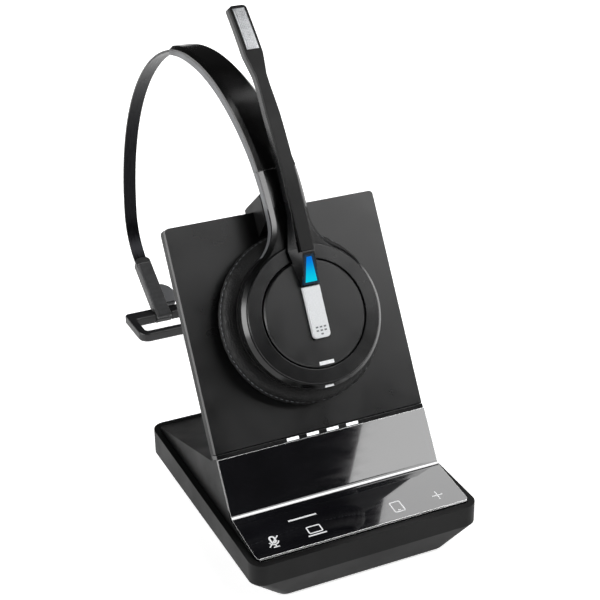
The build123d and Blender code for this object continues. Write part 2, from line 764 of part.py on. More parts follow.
# ================================================================== headset: ear cup
def cup_outline(h, grow=0.0):
    """Round cup with the arm rising from it, the two joined by sweeping fillets."""
    with BuildSketch(plate_plane.offset(h)) as outline:
        with Locations((0, ear_v)):
            Circle(cup_radius + grow)
        with Locations((0, (ear_v + seam_v) / 2)):
            Rectangle(2 * (arm_half_width + grow), seam_v - ear_v)
        joins = [p for p in outline.vertices() if abs(abs(p.X) - arm_half_width - grow) < 0.01
                 and p.Y < seam_v - 1]
        fillet(joins, cup_join_radius)
    return outline.sketch


def ear_axis_plane(h):
    return Plane(origin=plate_point(0, ear_v, h), x_dir=(1, 0, 0), z_dir=out_dir)


boss_radius_at = 18.9
with BuildPart() as ear_housing:
    # front half of the arm's depth over the whole outline, and the round cup behind it
    extrude(arm_slice(0, arm_split_depth - shell_gap, 0, cover_tip_split, ear_v - cup_radius - 1),
            amount=cup_radius + 1, both=True)
    extrude(cup_outline(cup_back_h), amount=arm_front_h, mode=Mode.INTERSECT)
    with BuildSketch(ear_axis_plane(cup_floor_h)):
        Circle(cup_radius)
    extrude(amount=arm_front_h - arm_split_depth - cup_floor_h + 0.5)
    bevel_edges = [e for e in ear_housing.edges()
                   if (e.center() - plate_point(0, 0, arm_front_h - 1.2)).dot(out_dir) > 0
                   and (e.center() - plate_point(0, seam_v - 0.3, 0)).dot(up_dir) < 0]
    chamfer(bevel_edges, length=arm_bevel_down, length2=arm_bevel_in)
    # recess for ring and disc, cavity behind it
    with BuildSketch(ear_axis_plane(recess_h)):
        Circle(ring_radius + 0.1)
    extrude(amount=10, mode=Mode.SUBTRACT)
    with BuildSketch(ear_axis_plane(cup_floor_h - 1)):
        Circle(cup_cavity_radius)
    extrude(amount=recess_h - 1.0 - cup_floor_h + 1, mode=Mode.SUBTRACT)
    with BuildSketch(ear_axis_plane(recess_h - 2)):
        Circle(hub_radius + running_gap)
    extrude(amount=4, mode=Mode.SUBTRACT)
    # room for the battery in the arm
    with BuildSketch(plate_plane.offset(11.0)):
        with Locations(battery_center):
            Rectangle(battery_size[0] + 0.4, battery_size[1] + 0.4)
    extrude(amount=battery_low_h + battery_thickness + 0.1 - 11.0, mode=Mode.SUBTRACT)
    with BuildSketch(plate_plane.offset(rim_mark_low_h - 0.05)):
        with Locations((0, ear_v - cup_radius + 0.55)):
            Rectangle(rim_mark_size[0] + 0.1, rim_mark_size[1] + 0.1)
    extrude(amount=3.0, mode=Mode.SUBTRACT)
    with BuildSketch(ear_axis_plane(cup_floor_h)):
        with PolarLocations(boss_radius_at, 3, start_angle=90):
            Circle(1.8)
    extrude(amount=recess_h - 0.5 - cup_floor_h)
    with BuildSketch(ear_axis_plane(cup_floor_h)):
        with PolarLocations(boss_radius_at, 3, start_angle=90):
            Circle(0.75)
    extrude(amount=2.2, mode=Mode.SUBTRACT)
save(ear_housing, "ear_housing")

with BuildPart() as ear_ring:
    with BuildSketch(ear_axis_plane(recess_h)):
        Circle(ring_radius)
        Circle(disc_radius + turning_gap, mode=Mode.SUBTRACT)
    extrude(amount=ring_front_h - recess_h)
    chamfer(ear_ring.edges().filter_by(GeomType.CIRCLE).group_by(Axis(plate_foot, out_dir))[-1], 0.25)
save(ear_ring, "ear_ring")

# back of the cup: carries the cushion and the loudspeaker
speaker_radius = 12.0
speaker_flange_radius = 13.2
with BuildPart() as cup_back:
    with BuildSketch(ear_axis_plane(cup_back_h)):
        Circle(cup_radius)
        Circle(speaker_radius + 0.2, mode=Mode.SUBTRACT)
    extrude(amount=cup_floor_h - cup_back_h)
    with BuildSketch(ear_axis_plane(cup_back_h)):
        with PolarLocations(boss_radius_at, 3, start_angle=90):
            Circle(0.95)
    extrude(amount=5, mode=Mode.SUBTRACT)
    with BuildSketch(ear_axis_plane(cup_back_h)):
        with PolarLocations(boss_radius_at, 3, start_angle=90):
            Circle(1.7)
    extrude(amount=1.1, mode=Mode.SUBTRACT)
    chamfer(cup_back.edges().filter_by(GeomType.CIRCLE).group_by(Axis(plate_foot, out_dir))[0]
            .sort_by(SortBy.LENGTH)[-1], 0.8)
save(cup_back, "cup_back")

with BuildPart() as cup_screws:
    with BuildSketch(ear_axis_plane(cup_back_h + 0.1)):
        with PolarLocations(boss_radius_at, 3, start_angle=90):
            Circle(1.6)
    extrude(amount=1.0)
    with BuildSketch(ear_axis_plane(cup_back_h + 0.1)):
        with PolarLocations(boss_radius_at, 3, start_angle=90):
            Circle(0.75)
    extrude(amount=3.8)
save(cup_screws, "cup_screws")

# rear half of the arm's depth, from the cup's edge to the seam
with BuildPart() as arm_back_cover:
    extrude(arm_slice(arm_split_depth, arm_depth, cover_tip_split, cover_tip_depth, ear_v),
            amount=cup_radius, both=True)
    extrude(cup_outline(cup_back_h - 5), amount=20, mode=Mode.INTERSECT)
    with BuildSketch(ear_axis_plane(cup_back_h - 5)):
        Circle(cup_radius + 0.1)
    extrude(amount=20, mode=Mode.SUBTRACT)
    with BuildSketch(plate_plane.offset(arm_front_h - arm_depth + 1.0)):
        with Locations(battery_center):
            Rectangle(battery_size[0] + 0.4, battery_size[1] + 0.4)
    extrude(amount=5, mode=Mode.SUBTRACT)
    with BuildSketch(plate_plane.offset(arm_front_h - arm_depth - 0.3)):
        with Locations(*pin_spots):
            Circle(0.95)
    extrude(amount=0.8, mode=Mode.SUBTRACT)
save(arm_back_cover, "arm_back_cover")

with BuildPart() as battery:
    with BuildSketch(plate_plane.offset(battery_low_h)):
        with Locations(battery_center):
            Rectangle(*battery_size)
    extrude(amount=battery_thickness)
    fillet(battery.edges().filter_by(lambda e: abs(e.tangent_at(0.5).dot(up_dir)) > 0.99), 0.8)
save(battery, "battery")

with BuildPart() as contact_pads:
    with BuildSketch(plate_plane.offset(arm_front_h - arm_depth + 0.05)):
        with Locations(*pin_spots):
            Circle(0.9)
    extrude(amount=0.4)
save(contact_pads, "contact_pads")

with BuildPart() as catch_ring:
    with BuildSketch(ear_axis_plane(cup_floor_h)):
        Circle(16.8)
        Circle(14.0, mode=Mode.SUBTRACT)
    extrude(amount=0.8)
save(catch_ring, "catch_ring")

ear_board_h = cup_floor_h + 0.8
with BuildPart() as ear_board:
    with BuildSketch(ear_axis_plane(ear_board_h)):
        Circle(boss_radius_at - 2.0)
        Circle(clip_radius + 0.8, mode=Mode.SUBTRACT)
    extrude(amount=0.7)
save(ear_board, "ear_board")

with BuildPart() as speaker_driver:
    with BuildSketch(ear_axis_plane(cup_back_h - 2.4)):
        Circle(speaker_radius)
    extrude(amount=4.2)
    with BuildSketch(ear_axis_plane(cup_back_h - 0.8)):
        Circle(speaker_flange_radius)
    extrude(amount=0.8)
    fillet(speaker_driver.edges().filter_by(GeomType.CIRCLE).group_by(Axis(plate_foot, out_dir))[0], 0.6)
save(speaker_driver, "speaker_driver")

grille_h = cup_back_h - 3.3
with BuildPart() as speaker_grille:
    with BuildSketch(ear_axis_plane(grille_h)):
        Circle(speaker_radius + 0.4)
        Circle(0.9, mode=Mode.SUBTRACT)
        for row_radius, holes in ((3.6, 6), (7.2, 12), (10.6, 18)):
            with PolarLocations(row_radius, holes):
                Circle(0.9, mode=Mode.SUBTRACT)
    extrude(amount=0.7)
save(speaker_grille, "speaker_grille")

# soft ring: widest near the plate, drawn in where it meets the cup
with BuildPart() as ear_cushion:
    with BuildSketch(Plane(origin=plate_point(0, ear_v, 0), x_dir=(1, 0, 0), z_dir=-up_dir)) as ring_section:
        with BuildLine():
            inner_low = (cushion_hole_radius + 2.2, cushion_gap)
            outer_low = (cushion_radius - 2.6, cushion_gap)
            outer_top = (cup_radius + 0.6, cup_back_h)
            inner_top = (cushion_hole_radius, cup_back_h)
            Line(inner_low, outer_low)
            ThreePointArc(outer_low, (cushion_radius - 0.5, 1.6), (cushion_radius, 3.4))
            ThreePointArc((cushion_radius, 3.4), (cushion_radius - 0.9, 6.0), outer_top)
            Line(outer_top, inner_top)
            ThreePointArc(inner_top, (cushion_hole_radius + 0.1, 3.0), inner_low)
        make_face()
    revolve(axis=Axis(plate_point(0, ear_v, 0), out_dir))
save(ear_cushion, "ear_cushion")

mark_depth = 0.4
rim_mark_v = ear_v - cup_radius
with BuildPart() as rim_mark:
    with BuildSketch(plate_plane.offset(rim_mark_low_h)):
        with Locations((0, rim_mark_v + 0.55)):
            Rectangle(*rim_mark_size)
    extrude(amount=1.0)
save(rim_mark, "rim_mark")

# ================================================================== boom
with BuildPart() as pivot_disc:
    with BuildSketch(ear_axis_plane(recess_h + 0.3)):
        Circle(disc_radius)
    extrude(amount=disc_front_h - recess_h - 0.3)
    chamfer(pivot_disc.edges().filter_by(GeomType.CIRCLE).group_by(Axis(plate_foot, out_dir))[-1], 0.5)
    with BuildSketch(plate_plane.offset(disc_front_h - button_sink - button_travel - 0.1)):
        with Locations((0, (button_low_v + button_top_v) / 2)):
            Rectangle(2 * (button_half_width + fit_gap), button_top_v - button_low_v + 2 * fit_gap)
    extrude(amount=2, mode=Mode.SUBTRACT)
    with BuildSketch(plate_plane.offset(disc_front_h - 1.5)):
        with Locations(switch_spot):
            Circle(switch_radius + 0.1)
    extrude(amount=2, mode=Mode.SUBTRACT)
    with BuildSketch(plate_plane.offset(disc_front_h - mark_depth)):
        with Locations((0, disc_mark_v)):
            Rectangle(*disc_mark_size)
    extrude(amount=2, mode=Mode.SUBTRACT)
save(pivot_disc, "pivot_disc")

with BuildPart() as disc_mark:
    with BuildSketch(plate_plane.offset(disc_front_h - mark_depth)):
        with Locations((0, disc_mark_v)):
            Rectangle(disc_mark_size[0] - 0.05, disc_mark_size[1] - 0.05)
    extrude(amount=mark_depth + 0.03)
save(disc_mark, "disc_mark")

with BuildPart() as button_switch:
    with BuildSketch(plate_plane.offset(disc_front_h - 1.5)):
        with Locations(switch_spot):
            Circle(switch_radius)
    extrude(amount=0.5)
save(button_switch, "button_switch")

# hub through the cup's floor with a snap ring behind it
with BuildPart() as pivot_hub:
    with BuildSketch(ear_axis_plane(recess_h - 2.0)):
        Circle(hub_radius)
        Circle(2.2, mode=Mode.SUBTRACT)
    extrude(amount=2.3)
save(pivot_hub, "pivot_hub")

with BuildPart() as pivot_clip:
    with BuildSketch(ear_axis_plane(recess_h - 1.95)):
        Circle(clip_radius)
        Circle(hub_radius, mode=Mode.SUBTRACT)
    extrude(amount=0.6)
save(pivot_clip, "pivot_clip")


def boom_slice(front_root, back_root, front_tip, back_tip, low_v, high_v):
    """Side section of the boom between two depths, from low_v up to high_v."""
    def line_point(v, root, tip):
        share = max(0.0, (v - boom_bend_v) / (boom_tip_v - boom_bend_v))
        surface = boom_surface_h(v) if v > boom_bend_v else boom_front_h
        return (surface - root - (tip - root) * share, v)

    with BuildSketch(side_plane) as section:
        with BuildLine():
            ends = []
            for root, tip in ((front_root, front_tip), (back_root, back_tip)):
                arc_low = max(low_v, boom_bend_v)
                points = [line_point(v, root, tip) for v in (arc_low, (arc_low + high_v) / 2, high_v)]
                ThreePointArc(*points)
                start = line_point(low_v, root, tip)
                if low_v < boom_bend_v:
                    Line(start, points[0])
                ends.append((start, points[2]))
            Line(ends[0][0], ends[1][0])
            Line(ends[0][1], ends[1][1])
        make_face()
    return section.sketch


# half widths of the boom from its root to the microphone end
boom_plan = [(boom_half_width, light_top_v), (boom_half_width, boom_tip_v - 37.5),
             (boom_waist_half_width, boom_tip_v - 28.5), (boom_waist_half_width, boom_tip_v - 24.5),
             (boom_tip_half_width, boom_tip_v - 17.1), (boom_tip_half_width, boom_tip_v)]


def boom_outline(grow=0.0):
    with BuildSketch(plate_plane) as outline:
        with BuildLine():
            Polyline(*mirrored([(u + grow, v) for u, v in boom_plan]), close=True)
        make_face()
        fillet(outline.vertices().group_by(Axis.Y)[-1], boom_tip_corner)
    return outline.sketch


root_base = [(button_half_width, light_low_v), (4.9, light_top_v + 1.9),
             (boom_half_width + 0.2, light_top_v + 11.9)]
root_crest = [(1.9, light_low_v + 3), (boom_half_width, light_top_v + 2),
              (boom_half_width, light_top_v + 11.9)]


def mirrored(points):
    return points + [(-u, v) for u, v in reversed(points)]


ramp_rise = boom_front_h - light_low_h
ramp_run = light_top_v - light_low_v
ramp_normal = (out_dir * ramp_run - up_dir * ramp_rise).normalized()
ramp_plane = Plane(origin=plate_point(0, light_low_v, light_low_h), x_dir=(1, 0, 0), z_dir=ramp_normal)
lens_low, lens_high = 0.9, 8.9
lens_low_half, lens_high_half = 2.0, 0.85
lens_depth = 0.8


def lens_outline(grow, depth):
    with BuildSketch(ramp_plane.offset(-depth)) as outline:
        with BuildLine():
            Polyline((lens_low_half + grow, lens_low - grow), (lens_high_half + grow, lens_high + grow),
                     (-lens_high_half - grow, lens_high + grow), (-lens_low_half - grow, lens_low - grow),
                     close=True)
        make_face()
    return outline.sketch


# flared root standing on the disc
with BuildPart() as boom_root:
    with BuildSketch(plate_plane.offset(disc_front_h + 0.02)):
        with BuildLine():
            Polyline(*mirrored(root_base), close=True)
        make_face()
    with BuildSketch(plate_plane.offset(boom_front_h)):
        with BuildLine():
            Polyline(*mirrored(root_crest), close=True)
        make_face()
    loft(ruled=True)

with BuildPart() as boom_back:
    extrude(boom_slice(boom_split_depth, boom_depth, boom_split_depth, boom_tip_depth - 0.2,
                       light_top_v, boom_tip_v + 1), amount=boom_tip_half_width + 1, both=True)
    extrude(boom_outline(), amount=40, mode=Mode.INTERSECT)
    add(boom_root.part)
    # ramp for the status light, and no material above the front shell's joint
    with BuildSketch(side_plane):
        with BuildLine():
            Polyline((light_low_h, light_low_v), (boom_front_h, light_top_v),
                     (boom_front_h + 5, light_top_v), (boom_front_h + 5, light_low_v - 5),
                     (light_low_h, light_low_v - 5), close=True)
        make_face()
    extrude(amount=8, both=True, mode=Mode.SUBTRACT)
    extrude(boom_slice(-2.0, boom_split_depth, -2.0, boom_split_depth, light_top_v + 0.6, boom_tip_v + 2),
            amount=8, both=True, mode=Mode.SUBTRACT)
    # the flare keeps clear of the ring and of the arm
    with BuildSketch(ear_axis_plane(disc_front_h - 1)):
        Circle(cup_radius * 2)
        Circle(disc_radius, mode=Mode.SUBTRACT)
    extrude(amount=boom_clear_h - disc_front_h + 1, mode=Mode.SUBTRACT)
    extrude(lens_outline(frame_width, lens_depth + 0.2), amount=4, mode=Mode.SUBTRACT)
    # channel for the flexible circuit and seats for the two microphones
    channel_bottom = boom_split_depth + flex_thickness + 2 * shell_gap
    extrude(boom_slice(boom_split_depth, channel_bottom, boom_split_depth, channel_bottom,
                       light_top_v + 3, mic_spots[1]), amount=flex_width / 2 + fit_gap, both=True,
            mode=Mode.SUBTRACT)
    for spot in mic_spots:
        with BuildSketch(plate_plane.offset(mic_floor_h(spot) - 0.05)):
            with Locations((0, spot)):
                Circle(mic_radius + 0.1)
        extrude(amount=boom_depth, mode=Mode.SUBTRACT)
save(boom_back, "boom_back")

with BuildPart() as boom_front:
    front_shell = boom_split_depth - shell_gap
    extrude(boom_slice(0, front_shell, 0, front_shell, light_top_v + 0.7, boom_tip_v + 1),
            amount=boom_tip_half_width + 1, both=True)
    extrude(boom_outline(), amount=40, mode=Mode.INTERSECT)
    extrude(boom_slice(-1, grille_inset + 0.05, -1, grille_inset + 0.05, grille_low_v - 0.05,
                       grille_high_v + 0.05), amount=grille_half_width + 0.05, both=True,
            mode=Mode.SUBTRACT)
save(boom_front, "boom_front")

with BuildPart() as mic_grille:
    extrude(boom_slice(-0.2, grille_inset, -0.2, grille_inset, grille_low_v, grille_high_v),
            amount=grille_half_width, both=True)
save(mic_grille, "mic_grille")

with BuildPart() as mic_capsules:
    for spot in mic_spots:
        with BuildSketch(plate_plane.offset(mic_floor_h(spot))):
            with Locations((0, spot)):
                Circle(mic_radius)
        extrude(amount=mic_height)
save(mic_capsules, "mic_capsules")

with BuildPart() as boom_flex:
    flex_top = boom_split_depth + shell_gap / 2
    flex_bottom = flex_top + flex_thickness
    extrude(boom_slice(flex_top, flex_bottom, flex_top, flex_bottom, light_top_v + 3.1,
                       mic_spots[0] - mic_radius - 0.3), amount=flex_width / 2, both=True)
save(boom_flex, "boom_flex")

with BuildPart() as light_frame:
    extrude(lens_outline(frame_width - 0.05, lens_depth + 0.15), amount=lens_depth + 0.2)
    extrude(lens_outline(0.03, lens_depth - 0.1), amount=3, mode=Mode.SUBTRACT)
save(light_frame, "light_frame")

with BuildPart() as status_light:
    extrude(lens_outline(0, lens_depth - 0.1), amount=lens_depth)
    chamfer(status_light.faces().filter_by(lambda f: f.normal_at().dot(ramp_normal) > 0.99)
            .sort_by(SortBy.AREA)[-1].outer_wire().edges(), 0.15)
save(status_light, "status_light")

# ================================================================== call button
with BuildPart() as call_button:
    with BuildSketch(plate_plane.offset(disc_front_h - button_sink)) as key_outline:
        with Locations((0, (button_low_v + button_top_v) / 2)):
            Rectangle(2 * button_half_width, button_top_v - button_low_v)
        fillet(key_outline.vertices().group_by(Axis.Y)[0], 1.3)
    extrude(amount=button_front_h - disc_front_h + button_sink)
    chamfer(call_button.faces().filter_by(lambda f: f.normal_at().dot(out_dir) > 0.99)
            .sort_by(SortBy.AREA)[-1].outer_wire().edges(), 0.25)
save(call_button, "call_button")

# ================================================================== temple slider and frame
strip_axis_origin = plate_point(0, strip_top[1], strip_top[0])
strip_world = out_dir * strip_dir[0] + up_dir * strip_dir[1]
normal_world = out_dir * strip_normal[0] + up_dir * strip_normal[1]
sleeve_plane = Plane(origin=strip_axis_origin, x_dir=(1, 0, 0), z_dir=normal_world)
pin_place = strip_axis_origin + strip_world * sleeve_length
foot_radius = 3.0


def sleeve_outline(offset, top, grow=0.0):
    """The sleeve seen from the wearer's side: rounded top, straight foot."""
    width = 2 * (sleeve_half_width + grow)
    length = sleeve_length + foot_radius + top + grow
    with BuildSketch(sleeve_plane.offset(offset)) as outline:
        with Locations((0, top + grow - length / 2)):
            Rectangle(width, length)
        fillet(outline.vertices().group_by(Axis.Y)[-1], 1.9)
    return outline.sketch


with BuildPart() as temple_sleeve:
    extrude(sleeve_outline(-sleeve_back, 0.6), amount=sleeve_back + sleeve_front)
    fillet(temple_sleeve.edges().filter_by(Axis.X).group_by(Axis(strip_axis_origin, strip_world))[-1], 1.2)
    with BuildSketch(sleeve_plane.offset(-band_thickness / 2 - 0.1)):
        with Locations((0, 5 - (strip_in_sleeve + 5.4) / 2)):
            Rectangle(band_width + 0.3, strip_in_sleeve + 5.4)
    extrude(amount=band_thickness + 0.2, mode=Mode.SUBTRACT)
    with BuildSketch(sleeve_plane.offset(band_thickness / 2 + 0.1)):
        with Locations((0, -strip_in_sleeve / 2)):
            Rectangle(3.2, 9.0)
    extrude(amount=0.9, mode=Mode.SUBTRACT)
    with BuildSketch(Plane(origin=pin_place, x_dir=strip_world, z_dir=(1, 0, 0))):
        Circle(pin_radius + running_gap)
    extrude(amount=sleeve_half_width + 1, both=True, mode=Mode.SUBTRACT)
save(temple_sleeve, "temple_sleeve")

with BuildPart() as temple_pad:
    extrude(sleeve_outline(sleeve_front + 0.02, -2.4), amount=pad_thickness)
    fillet(temple_pad.faces().filter_by(lambda f: f.normal_at().dot(normal_world) > 0.99)
           .sort_by(SortBy.AREA)[-1].outer_wire().edges(), 0.5)
save(temple_pad, "temple_pad")

# leaf that presses on the strip and holds the chosen length
with BuildPart() as detent_spring:
    with BuildSketch(sleeve_plane.offset(band_thickness / 2 + 0.15)):
        with Locations((0, -strip_in_sleeve / 2)):
            Rectangle(2.8, 8.4)
    extrude(amount=0.4)
save(detent_spring, "detent_spring")

with BuildPart() as temple_pin:
    with BuildSketch(Plane(origin=pin_place, x_dir=strip_world, z_dir=(1, 0, 0))):
        Circle(pin_radius)
    extrude(amount=sleeve_half_width + 2.4, both=True)
save(temple_pin, "temple_pin")

# thumb grip on one flank of the sleeve
with BuildPart() as slider_tab:
    with BuildSketch(sleeve_plane.offset(-sleeve_back + 0.2)) as tab_outline:
        with BuildLine():
            low = (sleeve_half_width + 0.02, -sleeve_length - 0.6 + frame_rear_clear)
            high = (sleeve_half_width + 0.02, -sleeve_length + tab_length)
            Line(low, high)
            ThreePointArc(high, (sleeve_half_width + tab_width, -sleeve_length + tab_length * 0.55),
                          (sleeve_half_width + tab_width * 0.85, low[1]))
            Line((sleeve_half_width + tab_width * 0.85, low[1]), low)
        make_face()
    extrude(amount=sleeve_back + sleeve_front - 0.6)
save(slider_tab, "slider_tab")

frame_center_y = pin_place.Y + frame_pin_setback - frame_depth / 2
frame_low_z = pin_place.Z - frame_thickness / 2
with BuildPart() as temple_frame:
    with BuildSketch(Plane.XY.offset(frame_low_z)) as frame_outline:
        with Locations((0, frame_center_y)):
            Rectangle(2 * frame_half_length, frame_depth)
        fillet(frame_outline.vertices().group_by(Axis.Y)[0], 4.0)
        fillet(frame_outline.vertices().group_by(Axis.Y)[-1], 1.6)
    extrude(amount=frame_thickness)
    rear_y = frame_center_y + frame_depth / 2
    hole_depth = frame_depth - frame_rear_bar - frame_front_bar
    with BuildSketch(Plane.XY.offset(frame_low_z)) as hole_outline:
        with Locations((0, rear_y - frame_rear_bar - hole_depth / 2)):
            RectangleRounded(2 * (frame_half_length - frame_side_bar), hole_depth, 1.6)
    extrude(amount=frame_thickness, mode=Mode.SUBTRACT)
    fillet(temple_frame.edges().filter_by(lambda e: abs(e.tangent_at(0.5).Z) < 0.01), 0.7)
    # gap for the sleeve's foot, and the pin's bore
    with BuildSketch(Plane.XY.offset(frame_low_z - 1)):
        with Locations((0, rear_y - frame_rear_bar / 2)):
            Rectangle(2 * (sleeve_half_width + 0.35), frame_rear_bar + 2)
    extrude(amount=frame_thickness + 2, mode=Mode.SUBTRACT)
    with BuildSketch(Plane(origin=pin_place, x_dir=(0, 1, 0), z_dir=(1, 0, 0))):
        Circle(pin_radius + running_gap)
    extrude(amount=sleeve_half_width + 2.6, both=True, mode=Mode.SUBTRACT)
save(temple_frame, "temple_frame")
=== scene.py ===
"""Looks of a cordless office headset on its charging dock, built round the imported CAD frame."""

import json
from math import cos, pi, radians, sin

import bmesh
import bpy
from mathutils import Matrix, Vector, noise


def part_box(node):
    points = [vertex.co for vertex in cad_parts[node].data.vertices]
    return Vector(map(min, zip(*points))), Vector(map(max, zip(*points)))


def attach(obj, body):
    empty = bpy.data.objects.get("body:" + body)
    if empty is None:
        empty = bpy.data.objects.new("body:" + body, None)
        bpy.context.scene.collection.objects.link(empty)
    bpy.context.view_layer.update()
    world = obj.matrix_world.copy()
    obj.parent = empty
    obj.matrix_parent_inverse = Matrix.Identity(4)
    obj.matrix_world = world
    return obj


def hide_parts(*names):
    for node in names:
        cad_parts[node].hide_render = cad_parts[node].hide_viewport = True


MM = 0.001

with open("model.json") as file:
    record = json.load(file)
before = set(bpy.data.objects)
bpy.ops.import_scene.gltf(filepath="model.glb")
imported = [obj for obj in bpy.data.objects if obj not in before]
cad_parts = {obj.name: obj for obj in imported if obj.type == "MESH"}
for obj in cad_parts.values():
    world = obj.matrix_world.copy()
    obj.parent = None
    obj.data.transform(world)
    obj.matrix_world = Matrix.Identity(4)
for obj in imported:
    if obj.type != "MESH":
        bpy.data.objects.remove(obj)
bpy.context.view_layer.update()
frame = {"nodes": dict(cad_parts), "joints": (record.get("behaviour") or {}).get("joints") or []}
nodes = frame["nodes"]
joints = {joint["name"]: joint for joint in frame["joints"]}

# The leaning plate's own directions: across it, out of its face and uphill along it.
across = Vector((1, 0, 0))
out = Vector(joints["boom_turn"]["axis"]).normalized()
uphill = out.cross(across)
ear_center = Vector(joints["boom_turn"]["pos_m"])


def reach(node, direction):
    """How far a CAD node reaches along a direction: its lowest and highest value."""
    along = [vertex.co.dot(direction) for vertex in nodes[node].data.vertices]
    return min(along), max(along)


def plate_place(u, v, h):
    """World place from metres across, uphill (both from the ear axis) and the height along out."""
    return ear_center + across * u + uphill * v + out * (h - ear_center.dot(out))


# ---------------------------------------------------------------- camera and light
def place_camera():
    """Long lens from above the front left, rolled a little under one degree."""
    azimuth, elevation, roll = radians(-24.72), radians(25.71), radians(-0.98)
    place = Vector((-0.17035, -0.36614, 0.27167))
    focal_mm, sensor_mm = 85.81, 36.0
    back = Vector((sin(azimuth) * cos(elevation), -cos(azimuth) * cos(elevation), sin(elevation)))
    right = (-back).cross(Vector((0, 0, 1))).normalized()
    top = right.cross(-back)
    rolled_right = right * cos(roll) + top * sin(roll)
    rolled_top = top * cos(roll) - right * sin(roll)
    camera = bpy.data.objects.new("studio_camera", bpy.data.cameras.new("studio_camera"))
    bpy.context.scene.collection.objects.link(camera)
    camera.matrix_world = Matrix.Translation(place) @ Matrix(
        (rolled_right, rolled_top, back)).transposed().to_4x4()
    camera.data.lens = focal_mm
    camera.data.sensor_width = sensor_mm
    camera.data.clip_start = 0.01
    bpy.context.scene.camera = camera


def light_card(name, low, high, length, width, brightness, side):
    """A lit card whose straight edge runs through low and high; side says which way it spreads."""
    low, high = Vector(low), Vector(high)
    middle = (low + high) / 2
    edge = (high - low).normalized()
    away = middle - ear_center
    away = (away - edge * away.dot(edge)).normalized()
    spread = edge.cross(away)
    shift = width / 2 if spread.dot(Vector(side)) > 0 else -width / 2
    data = bpy.data.lights.new(name, "AREA")
    data.shape = "RECTANGLE"
    data.size, data.size_y = width, length
    data.energy = brightness * pi * width * length
    card = bpy.data.objects.new(name, data)
    bpy.context.scene.collection.objects.link(card)
    card.matrix_world = Matrix.Translation(middle + spread * shift) @ Matrix(
        (spread, edge, away)).transposed().to_4x4()
    card.visible_camera = False
    return card


def light_studio():
    """Lit cards in a dark surround, all in metres."""
    # upper card: falls off over the leaning plate from its upper right corner
    light_card("upper_card", low=(0.68, -0.8, 0.4), high=(0.2, -0.8, 1.0), length=1.2, width=0.8,
               brightness=4.6, side=(1, 0, 1))
    # rear card: seen in the touch surface, and on the rims of plate, band and boom
    light_card("rear_card", low=(0.5, 0.67, 1.0), high=(0.69, 0.94, 1.0), length=0.72, width=1.0,
               brightness=3.2, side=(1, 0, 0))
    # slanting strip on the left: the long highlight up the bevel of the arm and headband
    light_card("left_strip", low=(-0.95, -0.4, 0.3), high=(-0.9, 0.8, 1.0), length=1.4, width=0.4,
               brightness=8.0, side=(0, 0, -1))
    # two cards that only the bent sheet mirrors: one whose edge draws the slanting line on
    # its upright part, and one overhead for the bright line along the bend
    sheet_only = bpy.data.collections.new("sheet_only")
    sheet_only.objects.link(nodes["gloss_panel"])
    front = light_card("front_card", low=(0.368, -0.8, 0.429), high=(0.4136, -0.8, 0.494),
                       length=1.3, width=0.9, brightness=5.4, side=(1, 0, 0))
    bend = light_card("bend_card", low=(-0.2, -0.62, 1.15), high=(1.1, -0.62, 1.15),
                      length=1.3, width=0.85, brightness=11.0, side=(0, 1, 0))
    for card in (front, bend):
        card.light_linking.receiver_collection = sheet_only
    world = bpy.data.worlds.new("dark_studio")
    world.use_nodes = True
    surround = world.node_tree.nodes["Background"].inputs
    surround["Color"].default_value = (0.5, 0.5, 0.5, 1)
    surround["Strength"].default_value = 0.05
    bpy.context.scene.world = world
    bpy.context.scene.view_settings.view_transform = "Standard"
    bpy.context.scene.view_settings.look = "None"


# ---------------------------------------------------------------- shader helpers
def linear(hex_colour):
    """sRGB hex as the linear colour that shaders take."""
    channels = [int(hex_colour[i:i + 2], 16) / 255 for i in (1, 3, 5)]
    return tuple(c / 12.92 if c <= 0.04045 else ((c + 0.055) / 1.055) ** 2.4
                 for c in channels) + (1.0,)


def add_node(tree, kind, settings, inputs):
    """Adds one node with its settings; an input is a value or another node's output."""
    node = tree.nodes.new("ShaderNode" + kind)
    for option, value in settings.items():
        setattr(node, option, value)
    for socket, value in inputs.items():
        if isinstance(value, bpy.types.NodeSocket):
            tree.links.new(value, node.inputs[socket])
        else:
            node.inputs[socket].default_value = value
    return node


def start_material(name, **constants):
    """A material with its principled shader; constants are set on the shader's own sockets."""
    material = bpy.data.materials.new(name)
    material.use_nodes = True
    shader = material.node_tree.nodes["Principled BSDF"]
    for socket, value in constants.items():
        shader.inputs[socket.replace("_", " ")].default_value = value
    return material, material.node_tree, shader


def texture_place(tree):
    return add_node(tree, "TexCoord", {}, {}).outputs["Object"]


def uneven(tree, place, size_mm, low, high, detail=3.0):
    """A value that wanders between low and high in patches of a real size."""
    cloud = add_node(tree, "TexNoise", {}, {"Vector": place, "Scale": 1 / (size_mm * MM),
                                            "Detail": detail, "Roughness": 0.55})
    return add_node(tree, "MapRange", {}, {"Value": cloud.outputs[0], "From Min": 0.32,
                                           "From Max": 0.68, "To Min": low,
                                           "To Max": high}).outputs["Result"]


def two_tone(tree, share, first, second):
    """Colour between first and second by share; each is an sRGB hex or another node's output."""
    first, second = (linear(tone) if isinstance(tone, str) else tone for tone in (first, second))
    return add_node(tree, "Mix", {"data_type": "RGBA"},
                    {0: share, 6: first, 7: second}).outputs[2]


def soft_edges(tree, radius_mm):
    """Normal that rounds edges to a radius."""
    return add_node(tree, "Bevel", {"samples": 4}, {"Radius": radius_mm * MM}).outputs["Normal"]


def relief(tree, shader, strength, depth_mm, height, soft_normal=None):
    """Bump of a real depth on the shader, over rounded edges where a soft normal is given."""
    inputs = {"Strength": strength, "Distance": depth_mm * MM, "Height": height}
    if soft_normal is not None:
        inputs["Normal"] = soft_normal
    bump = add_node(tree, "Bump", {}, inputs)
    tree.links.new(bump.outputs["Normal"], shader.inputs["Normal"])


